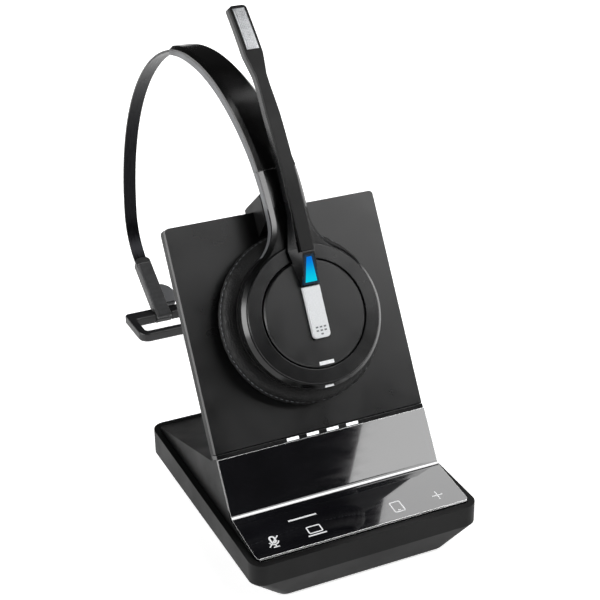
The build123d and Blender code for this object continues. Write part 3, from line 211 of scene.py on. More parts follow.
def edge_share(tree, soft_normal):
    """Near 1 on rounded edges, 0 on the flats."""
    flat = add_node(tree, "NewGeometry", {}, {}).outputs["Normal"]
    alike = add_node(tree, "VectorMath", {"operation": "DOT_PRODUCT"}, {0: soft_normal, 1: flat})
    return add_node(tree, "MapRange", {}, {"Value": alike.outputs["Value"], "From Min": 0.995,
                                           "From Max": 0.93, "To Min": 0.0,
                                           "To Max": 1.0}).outputs["Result"]


# ---------------------------------------------------------------- plastics
def moulded_plastic(name, colour, worn_colour, roughness, grain_mm, relief_mm, edge_mm=0.25,
                    shine=0.5):
    """Injection-moulded plastic: an even mould grain, edges rubbed a little lighter and
    smoother, and gloss that wanders in soft patches where hands have been."""
    material, tree, shader = start_material(name, IOR=1.5, Specular_IOR_Level=shine)
    place = texture_place(tree)
    soft = soft_edges(tree, edge_mm)
    rubbed = edge_share(tree, soft)
    body = two_tone(tree, uneven(tree, place, 9.0, 0.0, 0.35), colour, worn_colour)
    edged = two_tone(tree, rubbed, body, worn_colour)
    tree.links.new(edged, shader.inputs["Base Color"])
    handled = uneven(tree, place, 14.0, roughness - 0.05, roughness + 0.06)
    tree.links.new(handled, shader.inputs["Roughness"])
    grain = add_node(tree, "TexNoise", {}, {"Vector": place, "Scale": 1 / (grain_mm * MM),
                                            "Detail": 2.0})
    relief(tree, shader, 0.6, relief_mm, grain.outputs[0], soft)
    return material


def spark_eroded_abs():
    # dock's shells, back of the ear cup and front of the boom: black ABS from a spark-eroded
    # mould, dull with a fine sparkle (real grain 0.15 mm, drawn at 0.4 mm so that it shows)
    return moulded_plastic("spark_eroded_abs", "#060606", "#111112", roughness=0.44,
                           grain_mm=0.4, relief_mm=0.012, shine=0.2)


def satin_abs():
    # ring of the ear cup, rear of the boom and small inner parts: black ABS with a satin
    # polish, so edges draw thin bright lines
    return moulded_plastic("satin_abs", "#060607", "#121213", roughness=0.24,
                           grain_mm=0.6, relief_mm=0.004, edge_mm=0.3)


def soft_touch_lacquer():
    # leaning plate and disc: black soft-touch lacquer, broad silky sheen and no sparkle
    return moulded_plastic("soft_touch_lacquer", "#060607", "#0d0d0e", roughness=0.31,
                           grain_mm=0.8, relief_mm=0.003)


def polished_arm_abs():
    # ear cup with its arm, and cover of the headband: black ABS polished to a deep shine
    return moulded_plastic("polished_arm_abs", "#040404", "#101011", roughness=0.16,
                           grain_mm=1.2, relief_mm=0.002, edge_mm=0.3)


def grey_moulded_abs():
    # rear shells of arm and band, slider tab: mid-grey ABS, plain matte
    return moulded_plastic("grey_moulded_abs", "#525355", "#6c6d70", roughness=0.42,
                           grain_mm=0.5, relief_mm=0.006)


def glass_filled_nylon():
    # temple rest and slider: black glass-filled nylon, dull and slightly mottled
    return moulded_plastic("glass_filled_nylon", "#0d0d0e", "#1c1c1e", roughness=0.4,
                           grain_mm=0.7, relief_mm=0.01)


def pearl_painted_abs():
    # call button: ABS painted pearl grey, silky with a faint metallic flake
    material, tree, shader = start_material("pearl_painted_abs", IOR=1.5, Coat_Weight=0.3,
                                            Coat_Roughness=0.25)
    place = texture_place(tree)
    flake = uneven(tree, place, 0.25, 0.0, 1.0, detail=1.0)
    colour = two_tone(tree, flake, "#d6d8da", "#e4e6e8")
    tree.links.new(colour, shader.inputs["Base Color"])
    tree.links.new(uneven(tree, place, 5.0, 0.34, 0.42), shader.inputs["Roughness"])
    tree.links.new(soft_edges(tree, 0.3), shader.inputs["Normal"])
    return material


def polished_acrylic():
    # bent control panel: black acrylic sheet, mirror-like, with faint wiping marks and a painted
    # highlight along all its edges
    material, tree, shader = start_material("polished_acrylic", IOR=1.49, Coat_Weight=1.0,
                                            Coat_Roughness=0.02, Coat_IOR=1.49)
    place = texture_place(tree)
    soft = soft_edges(tree, 0.25)
    tint = two_tone(tree, uneven(tree, place, 20.0, 0.0, 1.0), "#040405", "#08080a")
    # painted highlight: the rounded edges are tinted pale grey
    edge_highlight = two_tone(tree, edge_share(tree, soft), tint, "#a8a8a8")
    tree.links.new(edge_highlight, shader.inputs["Base Color"])
    stretched = add_node(tree, "Mapping", {}, {"Vector": place, "Scale": (0.25, 1.0, 1.0)})
    wiped = uneven(tree, stretched.outputs["Vector"], 1.5, 0.035, 0.075)
    tree.links.new(wiped, shader.inputs["Roughness"])
    tree.links.new(soft, shader.inputs["Normal"])
    tree.links.new(soft, shader.inputs["Coat Normal"])
    return material


def frosted_polycarbonate():
    # charge windows: milky polycarbonate lit white from behind, a little cloudy
    material, tree, shader = start_material("frosted_polycarbonate", IOR=1.58, Roughness=0.3,
                                            Emission_Strength=0.75)
    place = texture_place(tree)
    milk = two_tone(tree, uneven(tree, place, 1.2, 0.0, 1.0), "#e6eaec", "#ffffff")
    tree.links.new(milk, shader.inputs["Base Color"])
    tree.links.new(milk, shader.inputs["Emission Color"])
    return material


def blue_lit_polycarbonate():
    # status light: clear lens over blue light that turns cyan towards its lower end
    material, tree, shader = start_material("blue_lit_polycarbonate", IOR=1.58, Roughness=0.12,
                                            Specular_IOR_Level=0.05, Emission_Strength=0.95)
    place = texture_place(tree)
    low, high = reach("status_light", uphill)
    along = add_node(tree, "VectorMath", {"operation": "DOT_PRODUCT"}, {0: place, 1: uphill})
    share = add_node(tree, "MapRange", {"interpolation_type": "SMOOTHSTEP"},
                     {"Value": along.outputs["Value"], "From Min": low, "From Max": high})
    glow = two_tone(tree, share.outputs["Result"], "#00d0ea", "#0072e0")
    tree.links.new(glow, shader.inputs["Emission Color"])
    shader.inputs["Base Color"].default_value = linear("#02161f")
    return material


def smoked_polycarbonate():
    # surround of the status light: smoked plastic with a faint painted blue glow standing in for
    # the status light's spill
    material, tree, shader = start_material("smoked_polycarbonate", IOR=1.58, Roughness=0.25,
                                            Specular_IOR_Level=0.3, Emission_Strength=0.05)
    place = texture_place(tree)
    smoke = two_tone(tree, uneven(tree, place, 1.5, 0.0, 1.0), "#08131a", "#10222c")
    tree.links.new(smoke, shader.inputs["Base Color"])
    # painted glow: a weak blue emission over the whole surround
    shader.inputs["Emission Color"].default_value = linear("#1a86c8")
    return material


def screen_ink(name, colour):
    # printed marks and sewing: opaque, slightly proud and a touch uneven, with a faint painted glow
    # in their own colour
    material, tree, shader = start_material(name, IOR=1.5, Emission_Strength=0.12)
    place = texture_place(tree)
    ink = two_tone(tree, uneven(tree, place, 0.6, 0.0, 0.25), colour, "#9a9c9e")
    tree.links.new(ink, shader.inputs["Base Color"])
    # painted glow: the ink colour also drives a weak emission that brightens the marks
    tree.links.new(ink, shader.inputs["Emission Color"])
    tree.links.new(uneven(tree, place, 2.0, 0.4, 0.55), shader.inputs["Roughness"])
    return material


# ---------------------------------------------------------------- rubber, leather, cloth
def moulded_silicone():
    # desk mat and temple pad: black silicone, dull with a dusty bloom
    material, tree, shader = start_material("moulded_silicone", IOR=1.42, Sheen_Weight=0.25,
                                            Sheen_Roughness=0.5)
    place = texture_place(tree)
    bloom = two_tone(tree, uneven(tree, place, 4.0, 0.0, 0.6), "#121213", "#222325")
    tree.links.new(bloom, shader.inputs["Base Color"])
    tree.links.new(uneven(tree, place, 3.0, 0.62, 0.78), shader.inputs["Roughness"])
    grain = add_node(tree, "TexNoise", {}, {"Vector": place, "Scale": 1 / (0.5 * MM)})
    relief(tree, shader, 0.5, 0.01, grain.outputs[0])
    return material


def pu_leatherette():
    # ear cushion: black PU leatherette, pebbled grain 0.7 mm across, soft worn highlights
    material, tree, shader = start_material("pu_leatherette", IOR=1.5, Specular_IOR_Level=0.3)
    place = texture_place(tree)
    pebble, crease = [add_node(tree, "TexVoronoi", {"feature": feature},
                               {"Vector": place, "Scale": 1 / (0.7 * MM), "Randomness": 0.85})
                      for feature in ("F1", "DISTANCE_TO_EDGE")]
    groove = add_node(tree, "MapRange", {}, {"Value": crease.outputs["Distance"],
                                             "From Min": 0.0, "From Max": 0.12})
    colour = two_tone(tree, groove.outputs["Result"], "#030303", "#090909")
    worn = two_tone(tree, uneven(tree, place, 6.0, 0.0, 0.4), colour, "#101011")
    tree.links.new(worn, shader.inputs["Base Color"])
    tree.links.new(uneven(tree, place, 2.5, 0.4, 0.55), shader.inputs["Roughness"])
    height = add_node(tree, "Math", {"operation": "SUBTRACT"},
                      {0: groove.outputs["Result"], 1: pebble.outputs["Distance"]})
    relief(tree, shader, 0.75, 0.07, height.outputs[0])
    return material


def acoustic_cloth():
    # cover of the loudspeaker: fine black woven cloth, threads drawn about 0.5 mm apart
    material, tree, shader = start_material("acoustic_cloth", IOR=1.5, Roughness=0.85,
                                            Sheen_Weight=0.4)
    place = texture_place(tree)
    thread_gap = 0.5 * MM    # a band texture of scale 1 repeats every 0.314
    weave = [add_node(tree, "TexWave", {"bands_direction": axis},
                      {"Vector": place, "Scale": 0.314 / thread_gap, "Distortion": 0.3})
             for axis in ("X", "DIAGONAL")]
    over = add_node(tree, "Math", {"operation": "MULTIPLY"},
                    {0: weave[0].outputs[1], 1: weave[1].outputs[1]})
    colour = two_tone(tree, over.outputs[0], "#070707", "#222222")
    tree.links.new(colour, shader.inputs["Base Color"])
    relief(tree, shader, 0.6, 0.05, over.outputs[0])
    return material


# ---------------------------------------------------------------- metals and boards
def metal(name, colour, dull_colour, roughness, lines_mm, stretch):
    """Bare or plated metal: lines_mm is the spacing of its rolling or brushing lines and
    stretch how much longer than wide they are along each axis."""
    material, tree, shader = start_material(name, Metallic=1.0)
    place = texture_place(tree)
    drawn = add_node(tree, "Mapping", {}, {"Vector": place, "Scale": stretch}).outputs["Vector"]
    lines = uneven(tree, drawn, lines_mm, 0.0, 1.0, detail=2.0)
    tree.links.new(two_tone(tree, lines, dull_colour, colour), shader.inputs["Base Color"])
    tree.links.new(uneven(tree, drawn, lines_mm, roughness - 0.06, roughness + 0.08),
                   shader.inputs["Roughness"])
    relief(tree, shader, 0.4, 0.004, lines, soft_edges(tree, 0.1))
    return material


def blued_spring_steel():
    # headband strip and detent spring: blackened spring steel, dark with a long drawn sheen
    return metal("blued_spring_steel", "#222224", "#18181a", 0.32, 0.3, (1.0, 0.08, 0.08))


def zinc_plated_steel():
    # screws, weight, magnets, clips, springs, socket shells and the backing of the microphone
    # mesh: zinc plate, grey-white and softly mottled
    return metal("zinc_plated_steel", "#c4c6c8", "#9c9ea2", 0.34, 1.2, (1.0, 1.0, 1.0))


def stainless_mesh_wire():
    # microphone mesh: drawn stainless wire, bright on its crowns
    return metal("stainless_mesh_wire", "#dcdddf", "#c6c7c9", 0.36, 0.5, (1.0, 0.3, 0.3))


def gold_flashed_brass():
    # charging pins, their pads and the sockets' contacts: thin gold over brass
    return metal("gold_flashed_brass", "#f0c878", "#d9a94e", 0.24, 0.6, (1.0, 1.0, 1.0))


def foil_wrapped_cell():
    # battery pouch: aluminium laminate, crumpled at the millimetre scale
    return metal("foil_wrapped_cell", "#b9babd", "#8f9195", 0.38, 2.0, (1.0, 1.0, 1.0))


def solder_masked_board():
    # circuit boards and the boom's flexible circuit: green mask over copper tracks 0.5 mm wide
    material, tree, shader = start_material("solder_masked_board", IOR=1.5, Roughness=0.3,
                                            Coat_Weight=0.3)
    place = texture_place(tree)
    tracks = add_node(tree, "TexBrick", {}, {"Vector": place, "Scale": 1 / (4.0 * MM),
                                             "Mortar Size": 0.06, "Brick Width": 0.9,
                                             "Row Height": 0.35,
                                             "Color1": linear("#0f3d22"),
                                             "Color2": linear("#124628"),
                                             "Mortar": linear("#2c6b3c")})
    tree.links.new(tracks.outputs["Color"], shader.inputs["Base Color"])
    return material


def seamless_paper():
    # studio floor: white paper that glows, more to the camera than to the object, so that
    # only the contact shadow shows
    material, tree, shader = start_material("seamless_paper", Roughness=0.9, IOR=1.3)
    place = texture_place(tree)
    pulp = two_tone(tree, uneven(tree, place, 60.0, 0.0, 1.0), "#f3f3f3", "#f8f8f8")
    tree.links.new(pulp, shader.inputs["Base Color"])
    tree.links.new(pulp, shader.inputs["Emission Color"])
    seen = add_node(tree, "LightPath", {}, {}).outputs["Is Camera Ray"]
    glow = add_node(tree, "MapRange", {}, {"Value": seen, "To Min": 0.42, "To Max": 0.72})
    tree.links.new(glow.outputs["Result"], shader.inputs["Emission Strength"])
    return material


def backdrop_paper():
    # far backdrop: the same white paper, lit by itself
    material, _, shader = start_material("backdrop_paper", Roughness=1.0, Emission_Strength=1.0)
    shader.inputs["Base Color"].default_value = (0, 0, 0, 1)
    shader.inputs["Emission Color"].default_value = linear("#fbfbfb")
    return material


# ---------------------------------------------------------------- mesh helpers
def mesh_object(name, bm, material, smooth=True):
    """A new piece made from the built mesh, which it frees."""
    mesh = bpy.data.meshes.new(name)
    bmesh.ops.recalc_face_normals(bm, faces=bm.faces)
    bm.to_mesh(mesh)
    bm.free()
    for polygon in mesh.polygons:
        polygon.use_smooth = smooth
    piece = bpy.data.objects.new(name, mesh)
    bpy.context.scene.collection.objects.link(piece)
    mesh.materials.append(material)
    return piece


def lathe(bm, profile, axis_point, axis, sideways, steps, waver=None):
    """Closed ring of revolution; profile is (radius, height along axis) pairs."""
    other = axis.cross(sideways)
    rings = []
    for i in range(steps):
        turn = 2 * pi * i / steps
        radial = sideways * cos(turn) + other * sin(turn)
        ring = []
        for k, (radius, height) in enumerate(profile):
            grow = waver(turn, k) if waver else 0.0
            ring.append(bm.verts.new(axis_point + radial * (radius + grow) + axis * height))
        rings.append(ring)
    count = len(profile)
    for i, ring in enumerate(rings):
        following = rings[(i + 1) % steps]
        for k in range(count):
            m = (k + 1) % count
            bm.faces.new((ring[k], following[k], following[m], ring[m]))


def arc_points(center, radius, start, end, steps=6):
    """Points along an arc between two angles in degrees."""
    return [(center[0] + radius * cos(radians(start + (end - start) * i / steps)),
             center[1] + radius * sin(radians(start + (end - start) * i / steps)))
            for i in range(steps + 1)]


def rounded_box(x0, y0, x1, y1, radius):
    """Outline of a rectangle with round corners."""
    return (arc_points((x1 - radius, y0 + radius), radius, -90, 0)
            + arc_points((x1 - radius, y1 - radius), radius, 0, 90)
            + arc_points((x0 + radius, y1 - radius), radius, 90, 180)
            + arc_points((x0 + radius, y0 + radius), radius, 180, 270))


def stroke(bm, place, points, width, closed=False):
    """Flat mitred ribbon along points; place turns (x, y) into a world place."""
    points = [Vector(p) for p in points]
    count = len(points)
    sides = []
    for i, point in enumerate(points):
        ahead = points[(i + 1) % count] - point if closed or i < count - 1 else None
        behind = point - points[i - 1] if closed or i else None
        first, second = (behind or ahead).normalized(), (ahead or behind).normalized()
        n1, n2 = Vector((-first.y, first.x)), Vector((-second.y, second.x))
        mitre = (n1 + n2) * (width / 2 / max(0.3, 1 + n1.dot(n2)))
        sides.append((bm.verts.new(place(*(point + mitre))), bm.verts.new(place(*(point - mitre)))))
    for i in range(count if closed else count - 1):
        a, b = sides[i], sides[(i + 1) % count]
        bm.faces.new((a[0], b[0], b[1], a[1]))


def thicken(piece, depth):
    """Gives a flat printed shape its depth, half to each side."""
    modifier = piece.modifiers.new("ink_depth", "SOLIDIFY")
    modifier.thickness = depth
    modifier.offset = 0.0
    apply_modifiers(piece)


def apply_modifiers(piece):
    """Bakes the modifiers into the mesh."""
    bpy.context.view_layer.update()
    evaluated = piece.evaluated_get(bpy.context.evaluated_depsgraph_get())
    mesh = bpy.data.meshes.new_from_object(evaluated)
    piece.modifiers.clear()
    piece.data = mesh


# ---------------------------------------------------------------- soft pieces
def ear_cushion(leatherette, thread):
    """Foam ring in sewn leatherette: crowned against the ear, drawn in at its welted seam."""
    low, high = reach("ear_cushion", out)
    outer = reach("ear_cushion", across)[1]
    lateral = [(v.co - ear_center) for v in nodes["ear_cushion"].data.vertices]
    hole = min((p - out * p.dot(out)).length for p in lateral)
    cup = reach("cup_back", across)[1]
    wide, tall = outer - hole, high - low
    seam_share = 0.6
    shares = [(0.17, 0.08), (0.34, 0.015), (0.52, 0.0), (0.70, 0.02), (0.85, 0.1), (0.955, 0.25),
              (1.0, 0.44), (0.985, 0.545), (0.95, seam_share), (0.965, 0.655), (0.935, 0.78),
              (0.87, 0.92), ((cup - hole + 0.3 * MM) / wide, 1.0), (0.4, 1.0), (0.04, 1.0),
              (0.0, 0.72), (0.015, 0.4), (0.07, 0.2)]
    profile = [(hole + wide * r, low - ear_center.dot(out) + tall * h) for r, h in shares]
    seam_row = shares.index((0.95, seam_share))
    gather_depth, slack_depth, drawn_in = 0.13 * MM, 0.28 * MM, 0.15 * MM

    def pucker(turn, k):
        near_seam = max(0.0, 1 - abs(k - seam_row) / 4)
        gathers = gather_depth * near_seam * (sin(46 * turn) + 0.6 * sin(31 * turn + 1.3))
        slack = noise.noise(Vector((cos(turn) * 3, sin(turn) * 3, k * 0.5))) * slack_depth
        return gathers + slack - drawn_in

    bm = bmesh.new()
    lathe(bm, profile, ear_center, out, across, 180, pucker)
    cushion = mesh_object("leather_ear_cushion", bm, leatherette)
    smooth = cushion.modifiers.new("smooth", "SUBSURF")
    smooth.levels = smooth.render_levels = 2
    apply_modifiers(cushion)
    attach(cushion, "headset")
    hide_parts("ear_cushion")

    # sewing along the seam: one stitch every 1.8 mm, 1.24 mm long and 0.26 mm thick
    seam_radius, seam_height = profile[seam_row]
    stitch_pitch, half_stitch, half_thread = 1.8 * MM, 0.62 * MM, 0.13 * MM
    stitches = int(2 * pi * seam_radius / stitch_pitch)
    bm = bmesh.new()
    for i in range(stitches):
        turn = 2 * pi * i / stitches
        radial = across * cos(turn) + out.cross(across) * sin(turn)
        along = out.cross(radial)
        center = ear_center + radial * (seam_radius + 0.02 * MM) + out * seam_height
        shape = Matrix((along, radial, out)).transposed().to_4x4()
        bmesh.ops.create_icosphere(
            bm, subdivisions=2, radius=1.0,
            matrix=Matrix.Translation(center) @ shape @ Matrix.Diagonal(
                (half_stitch, half_thread, half_thread, 1.0)))
    sewing = mesh_object("cushion_sewing", bm, thread)
    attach(sewing, "headset")


def speaker_cloth(cloth):
    """Thin cloth disc stretched over the loudspeaker's guard, slightly domed."""
    face = reach("speaker_grille", out)[0]
    radius = reach("speaker_grille", across)[1] + 0.5 * MM
    crown_mm, dome_mm = 0.75, 0.6   # height over the guard's face, and its loss at the rim
    ring_count, steps = 8, 72
    bm = bmesh.new()
    center = bm.verts.new(plate_place(0, 0, face - crown_mm * MM))
    rings = []
    for k in range(1, ring_count + 1):
        share = k / ring_count
        height = face - (crown_mm - dome_mm * share ** 2) * MM
        rings.append([bm.verts.new(plate_place(radius * share * cos(2 * pi * i / steps),
                                               radius * share * sin(2 * pi * i / steps), height))
                      for i in range(steps)])
    for i in range(steps):
        m = (i + 1) % steps
        bm.faces.new((center, rings[0][i], rings[0][m]))
        for inner, wider in zip(rings, rings[1:]):
            bm.faces.new((inner[i], wider[i], wider[m], inner[m]))
    disc = mesh_object("speaker_cloth", bm, cloth)
    thicken(disc, 0.15 * MM)
    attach(disc, "headset")


def temple_pad(silicone):
    """Ribbed silicone pad on the slider, in the space of its plain solid."""
    slide = Vector(joints["temple_length"]["axis"]).normalized()
    face = slide.cross(across)
    if face.z < 0:
        face = -face
    low, high = reach("temple_pad", slide)
    back, front = reach("temple_pad", face)
    half = reach("temple_pad", across)[1]
    length, depth = high - low, front - back
    rib_pitch, rib_depth = 2.0 * MM, 0.04 * MM
    rows, columns = 56, 10
    bm = bmesh.new()

    def skin(share_along, share_across):
        """Height of the pad's face: crowned, rounded ends, shallow ribs."""
        edge = min(1.0, (1 - abs(2 * share_across - 1)) * 4, (1 - abs(2 * share_along - 1)) * 14)
        round_off = max(0.0, 1 - (1 - edge) ** 2) ** 0.5
        rib = rib_depth * cos(2 * pi * share_along * length / rib_pitch)
        return back + (depth - rib_depth) * round_off + rib * (edge >= 1)

    grids = []
    for top in (True, False):
        grid = []
        for i in range(rows + 1):
            row = []
            for k in range(columns + 1):
                s, t = i / rows, k / columns
                narrow = 1 - 0.12 * max(0.0, 1 - s * 7) ** 2
                height = skin(s, t) if top else back
                row.append(bm.verts.new(across * (half * (2 * t - 1) * narrow)
                                        + slide * (low + length * s) + face * height))
            grid.append(row)
        grids.append(grid)
    for grid in grids:
        for i in range(rows):
            for k in range(columns):
                bm.faces.new((grid[i][k], grid[i + 1][k], grid[i + 1][k + 1], grid[i][k + 1]))
    bmesh.ops.remove_doubles(bm, verts=bm.verts, dist=0.005 * MM)
    pad = mesh_object("ribbed_temple_pad", bm, silicone)
    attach(pad, "temple_slider")
    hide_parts("temple_pad")


# ---------------------------------------------------------------- printed marks
def touch_surface():
    """Place function of the flat part of the bent sheet: x across, y forward from the bend."""
    panel = nodes["gloss_panel"].data
    flats = [p for p in panel.polygons if p.normal.z > 0.95]
    largest = max(flats, key=lambda p: p.area)
    normal = largest.normal.copy()
    rearward = across.cross(normal)
    if rearward.y < 0:
        rearward = -rearward
    level = largest.center.dot(normal)
    on_flat = [v.co for v in panel.vertices if abs(v.co.dot(normal) - level) < 0.02 * MM]
    rear = max(p.dot(rearward) for p in on_flat)
    ink_height = 0.02 * MM

    def place(x, y):
        return across * x + rearward * (rear - y) + normal * (level + ink_height)

    return place


def touch_icons(ink):
    """Generic printed symbols: a bar, a crossed-out microphone, a laptop, a tablet, a plus."""
    place = touch_surface()
    line = 0.42 * MM
    row = 13.0 * MM          # symbols' centres, from the bend

    def at(cx, cy=row, scale=1.0):
        return lambda x, y: place(cx + x * scale, cy - y * scale)

    def symbol(name, build):
        bm = bmesh.new()
        build(bm)
        piece = mesh_object(name, bm, ink, smooth=False)
        thicken(piece, 0.03 * MM)
        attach(piece, "dock")

    def bar(bm):
        stroke(bm, at(-16.0 * MM, 6.2 * MM), [(-4.8 * MM, 0), (4.8 * MM, 0)], 0.65 * MM)

    def microphone(bm):
        spot = at(-28.7 * MM)
        stroke(bm, spot, rounded_box(-0.75 * MM, -0.4 * MM, 0.75 * MM, 2.4 * MM, 0.74 * MM),
               line * 1.4, True)
        stroke(bm, spot, arc_points((0, 0.35 * MM), 1.55 * MM, 190, 350, 10), line)
        stroke(bm, spot, [(0, -1.2 * MM), (0, -2.3 * MM)], line)
        stroke(bm, spot, [(-1.0 * MM, -2.3 * MM), (1.0 * MM, -2.3 * MM)], line)
        stroke(bm, spot, [(-2.1 * MM, -1.9 * MM), (2.1 * MM, 2.2 * MM)], line)

    def laptop(bm):
        spot = at(-14.8 * MM)
        stroke(bm, spot, rounded_box(-2.2 * MM, -0.9 * MM, 2.2 * MM, 2.0 * MM, 0.4 * MM),
               line, True)
        stroke(bm, spot, [(-3.1 * MM, -1.9 * MM), (3.1 * MM, -1.9 * MM)], line * 1.2)

    def tablet(bm):
        spot = at(13.8 * MM)
        stroke(bm, spot, rounded_box(-1.7 * MM, -2.3 * MM, 1.7 * MM, 2.3 * MM, 0.4 * MM),
               line, True)
        stroke(bm, spot, [(-0.5 * MM, -1.6 * MM), (0.5 * MM, -1.6 * MM)], line)

    def plus(bm):
        spot = at(28.3 * MM)
        stroke(bm, spot, [(-1.9 * MM, 0), (1.9 * MM, 0)], line)
        stroke(bm, spot, [(0, line / 2), (0, 1.9 * MM)], line)
        stroke(bm, spot, [(0, -line / 2), (0, -1.9 * MM)], line)

    for name, build in (("mark_bar", bar), ("mark_microphone", microphone),
                        ("mark_laptop", laptop), ("mark_tablet", tablet), ("mark_plus", plus)):
        symbol(name, build)


def button_marks(ink):
    """Plain rows of short printed dashes at the lower end of the call button, in mm."""
    low = reach("call_button", uphill)[0]
    front = reach("call_button", out)[1]
    axis_v = ear_center.dot(uphill)

    def place(x, y):
        return plate_place(x, low - axis_v + y, front + 0.01 * MM)

    dash_pitch, half_dash, dash_width = 1.35, 0.4, 0.5
    bm = bmesh.new()
    for y, dashes in ((3.4, 3), (2.3, 3), (1.2, 1)):
        for k in range(dashes):
            x = (k - (dashes - 1) / 2) * dash_pitch
            stroke(bm, place, [((x - half_dash) * MM, y * MM), ((x + half_dash) * MM, y * MM)],
                   dash_width * MM)
    marks = mesh_object("button_marks", bm, ink, smooth=False)
    thicken(marks, 0.02 * MM)
    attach(marks, "call_button")


# ---------------------------------------------------------------- metal mesh and contacts
def microphone_mesh(wire):
    """Woven wire over the microphone slot, wires 0.55 mm apart and 0.22 mm thick."""
    axis_v = ear_center.dot(uphill)
    low, high = reach("mic_grille", uphill)
    pitch, radius, sides = 0.55 * MM, 0.11 * MM, 6
    lift, weave_height, inset = 0.03 * MM, 0.07 * MM, 0.25 * MM
    half = reach("mic_grille", across)[1] - 0.12 * MM
    skin = [v.co for v in nodes["mic_grille"].data.vertices]
    ends = []
    for level in (low, high):
        near = [p for p in skin if abs(p.dot(uphill) - level) < 0.3 * MM]
        ends.append(max(p.dot(out) for p in near))
    middle = [p.dot(out) for p in skin if abs(p.dot(uphill) - (low + high) / 2) < 1.5 * MM]
    crown = max(middle) if middle else (ends[0] + ends[1]) / 2
    bow = min(0.4 * MM, max(0.0, crown - (ends[0] + ends[1]) / 2))

    def surface(u, v):
        share = (v - low) / (high - low)
        height = ends[0] + (ends[1] - ends[0]) * share + 4 * bow * share * (1 - share)
        return plate_place(u, v - axis_v, height + lift)

    bm = bmesh.new()

    def thread(points):
        rings = []
        for i, point in enumerate(points):
            ahead = points[min(i + 1, len(points) - 1)] - points[max(i - 1, 0)]
            ahead.normalize()
            side = ahead.cross(out).normalized()
            top = side.cross(ahead)
            rings.append([bm.verts.new(point + side * radius * cos(2 * pi * k / sides)
                                       + top * radius * sin(2 * pi * k / sides))
                          for k in range(sides)])
        for a, b in zip(rings, rings[1:]):
            for k in range(sides):
                m = (k + 1) % sides
                bm.faces.new((a[k], a[m], b[m], b[k]))
        bm.faces.new(rings[0])
        bm.faces.new(list(reversed(rings[-1])))

    def wave(index, step):
        return weave_height * (1 if (index + step) % 2 else -1)

    across_count = int((2 * half - inset) / pitch) + 1
    along_count = int((high - low - 2 * inset) / pitch) + 1
    for i in range(along_count):
        v = low + inset + i * pitch
        thread([surface(-half + inset / 2 + k * pitch, v) + out * wave(i, k)
                for k in range(across_count)])
    for k in range(across_count):
        u = -half + inset / 2 + k * pitch
        thread([surface(u, low + inset + i * pitch) - out * wave(i, k)
                for i in range(along_count)])
    mesh = mesh_object("microphone_mesh", bm, wire)
    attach(mesh, "boom")


def box_mesh(bm, low, high):
    """Box between two corners, its edges broken by a small bevel."""
    low, high = Vector(low), Vector(high)
    made = bmesh.ops.create_cube(bm, size=1.0, matrix=Matrix.Translation(
        (low + high) / 2) @ Matrix.Diagonal(list(high - low) + [1.0]))
    edges = list({edge for vertex in made["verts"] for edge in vertex.link_edges})
    bmesh.ops.bevel(bm, geom=edges, offset=min(high - low) * 0.15, segments=2,
                    affect="EDGES", profile=0.5)


def socket_contacts(plastic, gold):
    """Tongues of the flat sockets and the spring contacts of the line sockets."""
    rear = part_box("base_tray")[1].y
    bm_tongue, bm_gold = bmesh.new(), bmesh.new()
    low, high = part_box("usb_sockets")
    inset = (high.x - low.x) * 0.213     # from the pair's outer sides to the socket's centre
    middle = (low.z + high.z) / 2
    for x in (low.x + inset, high.x - inset):
        box_mesh(bm_tongue, (x - 2.4 * MM, rear - 7.0 * MM, middle - 0.35 * MM),
                 (x + 2.4 * MM, rear - 1.2 * MM, middle + 0.35 * MM))
        for k in range(5):
            cx = x + (k - 2) * 0.9 * MM
            box_mesh(bm_gold, (cx - 0.2 * MM, rear - 6.5 * MM, middle + 0.33 * MM),
                     (cx + 0.2 * MM, rear - 1.6 * MM, middle + 0.42 * MM))
    low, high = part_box("line_sockets")
    inset = 4.5 * MM
    for x in (low.x + inset, high.x - inset):
        for k in range(6):
            cx = x + (k - 2.5) * 1.0 * MM
            box_mesh(bm_gold, (cx - 0.22 * MM, rear - 6.8 * MM, high.z - 1.05 * MM),
                     (cx + 0.22 * MM, rear - 2.6 * MM, high.z - 0.75 * MM))
    tongues = mesh_object("socket_tongues", bm_tongue, plastic, smooth=False)
    contacts = mesh_object("socket_contacts", bm_gold, gold, smooth=False)
    for piece, slot in ((tongues, "black_plastic"), (contacts, "contact_metal")):
        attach(piece, "dock")


# ---------------------------------------------------------------- stage
def paper_stage():
    """Round paper floor inside a paper dome that only the camera sees."""
    bm = bmesh.new()
    bmesh.ops.create_circle(bm, cap_ends=True, segments=96, radius=4.0)
    floor = mesh_object("paper_floor", bm, seamless_paper(), smooth=False)
    bm = bmesh.new()
    bmesh.ops.create_uvsphere(bm, u_segments=48, v_segments=24, radius=3.9)
    dome = mesh_object("paper_backdrop", bm, backdrop_paper())
    for ray in ("visible_diffuse", "visible_glossy", "visible_transmission", "visible_shadow"):
        setattr(dome, ray, False)


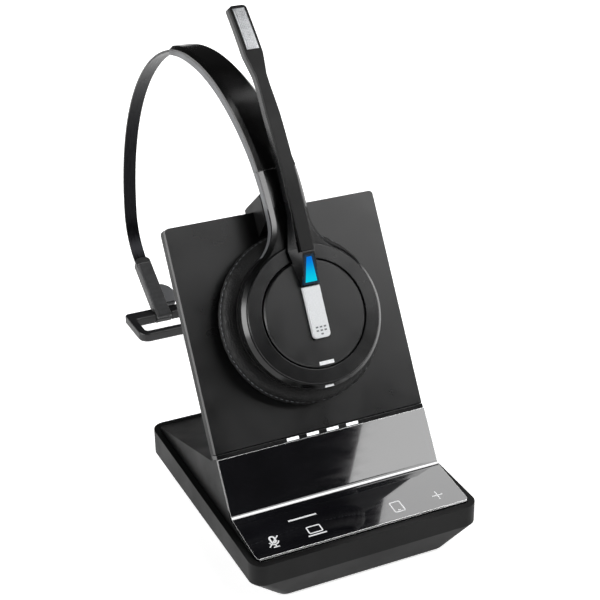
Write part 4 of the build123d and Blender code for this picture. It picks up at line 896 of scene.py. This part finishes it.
def dress(material, *names):
    """Gives CAD nodes their material."""
    for name in names:
        data = nodes[name].data
        data.materials.clear()
        data.materials.append(material)
        for polygon in data.polygons:
            polygon.material_index = 0


place_camera()
light_studio()
paper_stage()

grained, satin, lacquer = spark_eroded_abs(), satin_abs(), soft_touch_lacquer()
polished, grey_abs, nylon = polished_arm_abs(), grey_moulded_abs(), glass_filled_nylon()
zinc, gold, board = zinc_plated_steel(), gold_flashed_brass(), solder_masked_board()
silicone, leatherette = moulded_silicone(), pu_leatherette()
white_ink = screen_ink("white_screen_ink", "#e9eaeb")
grey_ink = screen_ink("grey_screen_ink", "#55585c")

dress(grained, "base_tray", "top_housing", "plate_rear_shell", "charging_block", "power_inlet",
      "line_sockets", "cup_back", "ringer_speaker", "boom_front")
dress(lacquer, "back_plate", "pivot_disc")
dress(satin, "ear_ring", "boom_back", "led_strip", "speaker_grille", "speaker_driver",
      "pivot_hub", "button_switch")
dress(polished, "headband_cover", "ear_housing")
dress(grey_abs, "arm_back_cover", "headband_liner", "slider_tab")
dress(nylon, "temple_sleeve", "temple_frame")
dress(polished_acrylic(), "gloss_panel")
dress(frosted_polycarbonate(), "led_windows")
dress(blue_lit_polycarbonate(), "status_light")
dress(smoked_polycarbonate(), "light_frame")
dress(pearl_painted_abs(), "call_button")
dress(white_ink, "disc_mark", "rim_mark")
dress(silicone, "base_mat", "temple_pad")
dress(leatherette, "ear_cushion")
dress(blued_spring_steel(), "steel_band", "detent_spring")
dress(zinc, "base_screws", "ballast_plate", "usb_sockets", "holding_magnets", "cup_screws",
      "catch_ring", "pivot_clip", "mic_capsules", "temple_pin", "pin_springs", "mic_grille")
dress(gold, "charge_pins", "contact_pads")
dress(foil_wrapped_cell(), "battery")
dress(board, "main_board", "touch_board", "led_board", "antenna_board", "pin_board",
      "ear_board", "boom_flex")

ear_cushion(leatherette, grey_ink)
speaker_cloth(acoustic_cloth())
temple_pad(silicone)
touch_icons(white_ink)
button_marks(grey_ink)
microphone_mesh(stainless_mesh_wire())
socket_contacts(satin, gold)
